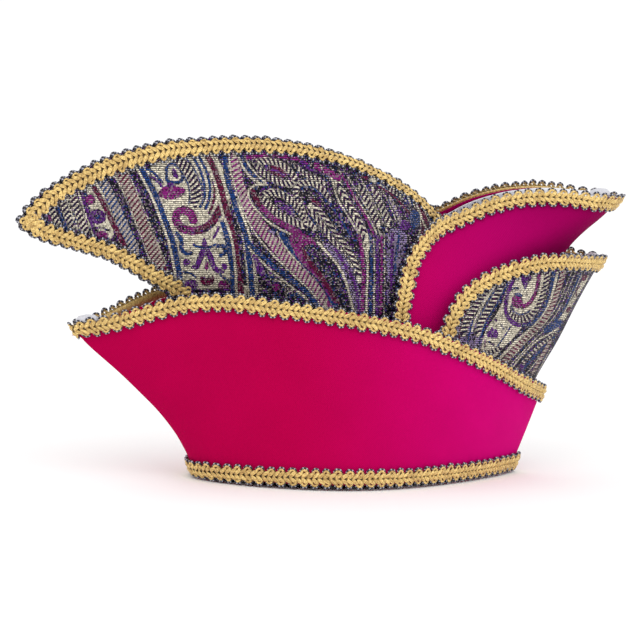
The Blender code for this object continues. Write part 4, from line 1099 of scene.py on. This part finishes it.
def strand(path, half, height, sides, kind, tone):
    # Closed strand with a point at each end: path + beside w cos a + up h sin a.
    path = np.array(path, float)
    tangent = unit(np.gradient(path, axis=0))
    beside = unit(np.cross(tangent, (0.0, 0.0, 1.0)))
    angle = np.arange(sides) * 2 * np.pi / sides + np.pi / 2
    half, height = np.array(half, float)[:, None, None], np.array(height, float)[:, None, None]
    ring = (path[:, None] + beside[:, None] * half * np.cos(angle)[None, :, None]
            + np.array((0.0, 0.0, 1.0)) * height * np.sin(angle)[None, :, None])[1:-1]
    rows = len(ring)
    index = np.arange(rows * sides).reshape(rows, sides)
    after = np.roll(index, -1, axis=1)
    quads = np.stack([index[:-1], after[:-1], after[1:], index[1:]], -1).reshape(-1, 4)
    head, tail = rows * sides, rows * sides + 1
    tris = np.concatenate([np.stack([after[0], index[0], np.full(sides, head)], -1),
                           np.stack([index[-1], after[-1], np.full(sides, tail)], -1)])
    points = np.concatenate([ring.reshape(-1, 3), path[:1], path[-1:]])
    share = np.concatenate([np.repeat(np.linspace(0, 1, rows + 2)[1:-1], sides), (0.0, 1.0)])
    marks = np.stack([share, np.full(len(points), kind), np.full(len(points), tone)], -1)
    return points, quads, tris, marks


def gather(parts):
    # Several meshes put end to end, with their corner numbers moved on.
    points, quads, tris, marks, base = [], [], [], [], 0
    for part in parts:
        points.append(part[0])
        quads.append(part[1] + base)
        tris.append(part[2] + base)
        marks.append(part[3])
        base += len(part[0])
    return [np.concatenate(group) for group in (points, quads, tris, marks)]


def braidUnit():
    # One pitch of the braid in millimetres along, across and out. Two leaves a side, of
    # three threads each, lean out from the middle, and each side has a fan of threads round
    # a small hole, inside a dark looped rim.
    parts = []
    pitch = braid["pitch"] * 1000.0
    share = np.linspace(0, 1, 6)
    bulge = np.sin(np.pi * share) ** 0.7
    for side in (-1.0, 1.0):
        for k in range(2):
            start = 0.25 * pitch * side + (k - 0.5) * 0.5 * pitch - 1.25
            for thread in (-1.0, 0.0, 1.0):
                apart = thread * 0.36 * bulge
                path = np.stack([start + 2.75 * share - 0.56 * apart,
                                 side * (2.0 * share - 0.12 + 0.82 * apart),
                                 0.42 + 0.72 * np.sin(np.pi * (0.08 + 0.74 * share))
                                 - 0.10 * abs(thread)], -1)
                parts.append(strand(path, (0, .20, .27, .27, .20, 0),
                                    (0, .18, .26, .26, .18, 0), 5, 1.0,
                                    0.1 + 0.13 * thread + 0.31 * k))
        centre = np.array((0.5 * pitch, side * 1.62))
        for k, angle in enumerate(np.radians((-96, -64, -32, 0, 32, 64, 96))):
            way = np.array((np.sin(angle), side * np.cos(angle)))
            span = np.linspace(0.16, 1.0, 5)
            reach = 1.16 + 0.10 * abs(np.sin(angle))
            flatPath = centre + way * (span * reach)[:, None]
            rise = 0.52 + 0.34 * np.sin(np.pi * span * 0.85)
            parts.append(strand(np.column_stack([flatPath, rise]), (0, .20, .27, .25, 0),
                                (0, .20, .26, .24, 0), 5, 2.0, k / 7))
        angle = np.radians(np.linspace(-84, 84, 13))
        rim = centre + np.stack([np.sin(angle) * 1.22, side * np.cos(angle) * 1.32], -1)
        rise = 0.40 + 0.16 * np.cos(angle)
        parts.append(strand(np.column_stack([rim, rise]), [0] + [.29] * 11 + [0],
                            [0] + [.38] * 11 + [0], 6, 3.0 + (side < 0), 0.5))
    return gather(parts)


# Section of the dark strip under the braid: painted shade for the gaps between the strands.
shadeTapeSection = ((-1.5, .20, 0), (-0.8, .36, 0), (0, .42, 0), (0.7, .36, 0), (1.3, .20, 0),
               (1.3, .05, 1), (0, .05, 1), (-1.5, .05, 1))


def layBraid(name, track, closed, material):
    # Repeats the unit along the braid; each point goes to edge + across t + out n at its
    # own run along the middle line, and a dark strip lies under the strands as painted shade in
    # the gaps between them.
    edge, across, outward, lift = track[:4]
    past = track[4:] if len(track) > 4 else [across, outward]
    if closed:
        edge, across, outward = [np.concatenate([a, a[:1]]) for a in (edge, across, outward)]
        past = [np.concatenate([a, a[:1]]) for a in past]
        lift = np.append(lift, lift[0])
    inside = braid["width"] - braid["overhang"]
    rail = edge - across * (inside - 0.5 * braid["width"]) \
        + outward * (braid["gap"] + lift + braid["railLift"])[:, None]
    run = legs(rail)
    keep = np.concatenate(([True], np.diff(run) > 1e-7))
    run = run[keep]
    rows = np.column_stack([edge, across, outward, lift] + past)[keep]
    count = max(2, int(round(run[-1] / braid["pitch"])))
    pitch = run[-1] / count

    def place(along, side, out):
        # Millimetres of the unit to places on the hat.
        if closed:
            along = np.mod(along, run[-1])
        else:
            along = np.clip(along, 0.0, run[-1])
        row = np.stack([np.interp(along, run, rows[:, k]) for k in range(16)], -1)
        share = np.clip((side + 0.5 * braid["width"]) / inside, 0.0, 1.0)
        rise = braid["gap"] + row[:, 9] * 4 * share * (1 - share) + out
        free = (side + 0.5 * braid["width"] - inside)[:, None]
        turn = smooth(free / braid["turnRun"] + 0.5)
        away = unit(row[:, 6:9] * (1 - turn) + row[:, 13:16] * turn)
        return row[:, 0:3] + row[:, 3:6] * np.minimum(free, 0.0) \
            + row[:, 10:13] * np.maximum(free, 0.0) + away * rise[:, None]

    points, quads, tris, marks = braidUnit()
    random = np.random.default_rng(7)
    shift = np.arange(count)[:, None]
    jitter = 1.0 + 0.09 * random.standard_normal((count, 1))
    along = points[:, 0] / (braid["pitch"] * 1000.0) + shift
    along = along * pitch + braid["slip"] * np.sin(1.7 * along + 2.0 * (points[:, 1] > 0))
    side = points[:, 1] / 1000.0 * (1.0 + 0.04 * random.standard_normal((count, 1)))
    out = points[:, 2] / 1000.0 * jitter
    laid = place(along.ravel(), side.ravel(), out.ravel())
    allMarks = np.tile(marks, (count, 1))
    allMarks[:, 2] += np.repeat(random.uniform(0, 1, count), len(points)) * 0.999
    allQuads = (quads[None] + (shift * len(points))[:, :, None]).reshape(-1, 4)
    allTris = (tris[None] + (shift * len(points))[:, :, None]).reshape(-1, 3)
    strands = [laid, allQuads, allTris, allMarks]

    # Dark strip under the strands: painted shade for the gaps between them.
    stations = count * 3 + (0 if closed else 1)
    along = np.arange(stations) * pitch / 3
    sides, outs, kinds = np.array(shadeTapeSection, float).T
    size = len(sides)
    ring = place(np.repeat(along, size), np.tile(sides / 1000.0, stations),
                 np.tile(outs / 1000.0, stations))
    index = np.arange(stations * size).reshape(stations, size)
    ahead = np.roll(index, -1, axis=0) if closed else index[1:]
    here = index if closed else index[:-1]
    shadeTape = np.stack([here, np.roll(here, -1, axis=1), np.roll(ahead, -1, axis=1), ahead],
                    -1).reshape(-1, 4)
    caps = np.zeros((0, 3), int)
    if not closed:
        fan = np.array([(0, k, k + 1) for k in range(1, size - 1)])
        caps = np.concatenate([fan, (index[-1][0] + fan)[:, ::-1]])
    station = np.repeat(np.arange(stations), size)
    shadeTapeMarks = np.column_stack([0.25 + 0.5 * (station % 3 > 0), np.tile(kinds, stations),
                                 0.3 + 0.1 * (station % 3)])
    points, quads, tris, marks = gather([strands, [ring, shadeTape, caps, shadeTapeMarks]])
    return addMesh(name, points, quads, tris, {"mark": marks}, material, weld=False)


# The dark strip colour under the strands is a painted shade.
gold = {"light": (0.93, 0.71, 0.28), "deep": (0.27, 0.125, 0.02), "shadeTape": (0.10, 0.05, 0.014),
        "rim": (0.008, 0.008, 0.022), "tick": (0.42, 0.42, 0.48), "roughness": 0.42}


def goldMaterial():
    # Colour by the kind of strand: gold threads that vary from one to the next and darken
    # at their ends as painted shade where each tucks under its neighbour, and rims that change
    # between navy and pale ticks along their length.
    made, tree, shader = newMaterial("goldBraid")
    mark = wire(tree, "ShaderNodeAttribute", (), 1, attribute_name="mark")
    parts = tree.nodes.new("ShaderNodeSeparateXYZ")
    tree.links.new(mark, parts.inputs[0])
    share, kind, tone = parts.outputs[0], parts.outputs[1], parts.outputs[2]
    place = wire(tree, "ShaderNodeTexCoord", (), 3)
    fibre = wire(tree, "ShaderNodeTexNoise", {"Vector": place, "Scale": 1900.0, "Detail": 3.0})
    cloud = wire(tree, "ShaderNodeTexNoise", {"Vector": place, "Scale": 90.0, "Detail": 2.0})
    waver = calc(tree, "FRACT", calc(tree, "MULTIPLY", tone, 7.31))
    ends = calc(tree, "SUBTRACT", 1.0, calc(tree, "ABSOLUTE", calc(
        tree, "MULTIPLY_ADD", share, 2.0, -1.0)))
    lit = calc(tree, "MULTIPLY", calc(tree, "SMOOTH_MIN", calc(tree, "MULTIPLY", ends, 3.0),
                                      1.0, 0.3), 0.58)
    lit = calc(tree, "ADD", lit, calc(tree, "MULTIPLY", waver, 0.50))
    lit = calc(tree, "MULTIPLY", lit, calc(tree, "MULTIPLY_ADD", fibre, 2.6, -0.52))
    threads = blendColor(tree, lit, (*gold["deep"], 1), (*gold["light"], 1))
    threads = blendColor(tree, 1.0, threads, blendColor(
        tree, cloud, (0.90, 0.86, 0.80, 1), (1.08, 1.06, 1.02, 1)), "MULTIPLY")
    beads = calc(tree, "SINE", calc(tree, "MULTIPLY", share, 20.0))
    ticks = calc(tree, "GREATER_THAN", calc(tree, "MULTIPLY_ADD", waver, -0.3, beads), 0.42)
    rims = blendColor(tree, ticks, (*gold["rim"], 1), (*gold["tick"], 1))
    isRim = calc(tree, "GREATER_THAN", kind, 2.5)
    base = blendColor(tree, isRim, threads, rims)
    # Painted shade: the dark strip under the strands.
    shadeTape = calc(tree, "LESS_THAN", kind, 0.5)
    socket(shader, "Base Color", blendColor(tree, shadeTape, base, (*gold["shadeTape"], 1)))
    socket(shader, "Roughness", calc(tree, "MULTIPLY_ADD", fibre, 0.3, gold["roughness"] - .15))
    socket(shader, "Metallic", calc(tree, "MULTIPLY", calc(tree, "SUBTRACT", 1.0, isRim), 0.25))
    socket(shader, "Sheen Weight", 0.15)
    socket(shader, "Normal", wire(tree, "ShaderNodeBump",
                                  {"Strength": 0.35, "Distance": 0.0001, "Height": fibre}))
    return made


def hemTrack():
    # Line at a fixed height from bow to stern, round the stern, back, and round the bow.
    height = braid["overhang"] + braid["hemLift"]
    bow, stern = outline(bowLine), outline(bandSternLine, 0.001)
    ends = np.array([[np.interp(height, line[:, 1], line[:, 0]), height]
                     for line in (bow, stern)])
    near = edgeFrame(bandLayer, resample(ends, evenPlus(200, 0.6)), -1.0,
                     {0: seamDirection(bow, height, True),
                      -1: seamDirection(stern, height, True)})
    return joined([near, seamTurn(near, -1), mirrored(near), seamTurn(near, 0)])


def bandTrack():
    # Band edge from bow to stern, round the stern, back, and round the bow.
    bow, stern = outline(bowLine), outline(bandSternLine, 0.001)
    near = edgeFrame(bandLayer, resample(outline(bandEdgeLine), evenPlus(200, 0.6)), 1.0,
                     {0: seamDirection(bow, bow[-1, 1], False),
                      -1: seamDirection(stern, stern[-1, 1], False)})
    return joined([near, seamTurn(near, -1), mirrored(near), seamTurn(near, 0)])


def wingTrack(layer, frontLine, topLine, sternLine, foot):
    # Front and top edge above foot, round the stern seam, and back on the far side.
    line = soften(np.array(frontLine + topLine[1:], float)
                  * (hat["length"], hat["height"]), 0.003)
    line = line[line[:, 1] >= foot * hat["height"]]
    stern = outline(sternLine)
    near = edgeFrame(layer, resample(line, np.linspace(0, 1, 200)), 1.0,
                     {-1: seamDirection(stern, stern[-1, 1], False)})
    return joined([near, seamTurn(near, -1), mirrored(near)])


def crestTrack(side):
    # Ridge then beak in the middle plane, moved in by foldIn along the cloth and widened.
    ridge = resample(outline(ridgeLine), np.linspace(0, 1, 220))[::-1]
    beak = resample(outline(braidFoot + beakLine), np.linspace(0, 1, 90))[::-1]
    top, low = edgeFrame(crestLayer, ridge, -1.0, {}), edgeFrame(crestLayer, beak, -1.0, {})
    track = joined([[a[:-1] for a in top], [b[1:] for b in low]])
    track[0][:, 1] = 0.0
    turn = np.array((1.0, side, 1.0))
    flat = unit(track[1] * (1.0, 0.0, 1.0))
    track[0] = track[0] - flat * braid["foldIn"]
    beside = np.array((0.0, -1.0, 0.0)) * np.ones_like(flat)
    across = track[1] * braid["foldWiden"]
    return [track[0] * turn, across * turn, track[2] * turn, track[3], flat, beside * turn]


magenta, brocade = twillMaterial(), brocadeMaterial()
white = feltMaterial("whiteFelt", felt["color"])
# Painted shade: the folds use the white felt in a darker grey.
foldShadeFelt = feltMaterial("paintedShadeFelt", felt["foldShadeColor"])
trim = goldMaterial()
pieces = {}
pieces["crest_shell"] = buildCrest(brocade)
pieces["lower_band"] = buildBand(magenta)
pieces["pink_wing"] = buildWing("pinkWing", "pink", pinkLayer, pinkFrontLine, pinkTopLine,
                                pinkSternLine, magenta)
pieces["brocade_wing"] = buildWing("brocadeWing", "brocade", brocadeLayer, brocadeFrontLine,
                                   brocadeTopLine, brocadeSternLine, brocade)
pieces["pink_wing_lining"] = buildWingLining("pinkWingLining", pinkLayer, pinkTopLine,
                                             pinkSternLine, 0.135, 0.020, white)
pieces["brocade_wing_lining"] = buildWingLining("brocadeWingLining", brocadeLayer,
                                                brocadeTopLine, brocadeSternLine, 0.325,
                                                0.012, white)
pieces["lower_band_lining"] = buildProwLining(white)
print("stage: cloth made")
pieces["hem_braid"] = layBraid("hemBraid", hemTrack(), True, trim)
pieces["band_braid"] = layBraid("bandBraid", bandTrack(), True, trim)
pieces["crest_braid_right"] = layBraid("crestBraidRight", crestTrack(1.0), False, trim)
pieces["crest_braid_left"] = layBraid("crestBraidLeft", crestTrack(-1.0), False, trim)
pieces["pink_wing_braid"] = layBraid("pinkWingBraid", wingTrack(
    pinkLayer, pinkFrontLine, pinkTopLine, pinkSternLine, 0.47), False, trim)
pieces["brocade_wing_braid"] = layBraid("brocadeWingBraid", wingTrack(
    brocadeLayer, brocadeFrontLine, brocadeTopLine, brocadeSternLine, 0.43), False, trim)
for node, item in pieces.items():
    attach(item, "root")
    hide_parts(node)
for kind in folds:
    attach(buildFold(kind + "Fold", folds[kind], foldShadeFelt), "root")
print("stage: braid made")


studio = {"floor": (0.97, 0.97, 0.97), "world": 1.04, "key": 4.0, "fill": 1.5}


def buildStudio():
    # Pale floor, even pale surroundings and two large soft lamps.
    made, tree, shader = newMaterial("paleFloor")
    socket(shader, "Base Color", (*studio["floor"], 1))
    socket(shader, "Roughness", 0.9)
    half = 6.0
    corners = np.array([(-half, -half, 0), (half, -half, 0), (half, half, 0), (-half, half, 0)])
    mesh = bpy.data.meshes.new("floor")
    mesh.from_pydata(corners.tolist(), [], [(0, 1, 2, 3)])
    mesh.materials.append(made)
    floor = bpy.data.objects.new("floor", mesh)
    bpy.context.scene.collection.objects.link(floor)
    world = bpy.data.worlds.new("studio")
    world.use_nodes = True
    bpy.context.scene.world = world
    world.node_tree.nodes["Background"].inputs[0].default_value = (1, 1, 1, 1)
    world.node_tree.nodes["Background"].inputs[1].default_value = studio["world"]
    for name, place, size, power in (("key", (-0.5, -0.9, 1.0), 0.9, studio["key"]),
                                     ("fill", (0.9, -0.8, 0.5), 1.0, studio["fill"])):
        lamp = bpy.data.lights.new(name, "AREA")
        lamp.energy, lamp.size = power, size
        item = bpy.data.objects.new(name, lamp)
        bpy.context.scene.collection.objects.link(item)
        item.location = place
        aim = np.array((0.0, 0.0, 0.05)) - np.array(place)
        item.rotation_euler = mathutils.Vector(aim).to_track_quat("-Z", "Y").to_euler()


view = {"azimuth": -22.0, "elevation": 7.0, "roll": 2.0, "distance": 2.4, "frame": 0.2006,
        "mark": (0.0135, 0.0, -0.0023), "right": -0.01305, "up": 0.05036}


def buildCamera():
    # Long lens on the photograph's line of sight, turned a little about that line.
    a, e, r = [math.radians(view[k]) for k in ("azimuth", "elevation", "roll")]
    back = mathutils.Vector((math.sin(a) * math.cos(e), -math.cos(a) * math.cos(e),
                             math.sin(e)))
    right = mathutils.Vector((math.cos(a), math.sin(a), 0.0))
    up = back.cross(right)
    target = mathutils.Vector(view["mark"]) + right * view["right"] + up * view["up"]
    data = bpy.data.cameras.new("camera")
    data.sensor_width = 36.0
    data.lens = 36.0 * view["distance"] / view["frame"]
    data.dof.use_dof = False
    data.clip_start, data.clip_end = 0.1, 50.0
    item = bpy.data.objects.new("camera", data)
    bpy.context.scene.collection.objects.link(item)
    turned = right * math.cos(r) + up * math.sin(r)
    raised = up * math.cos(r) - right * math.sin(r)
    axes = mathutils.Matrix((turned, raised, back)).transposed()
    item.matrix_world = axes.to_4x4()
    item.location = target + back * view["distance"]
    bpy.context.scene.camera = item


buildStudio()
buildCamera()
bpy.context.scene.view_settings.view_transform = "Standard"
print("stage: studio and camera made")
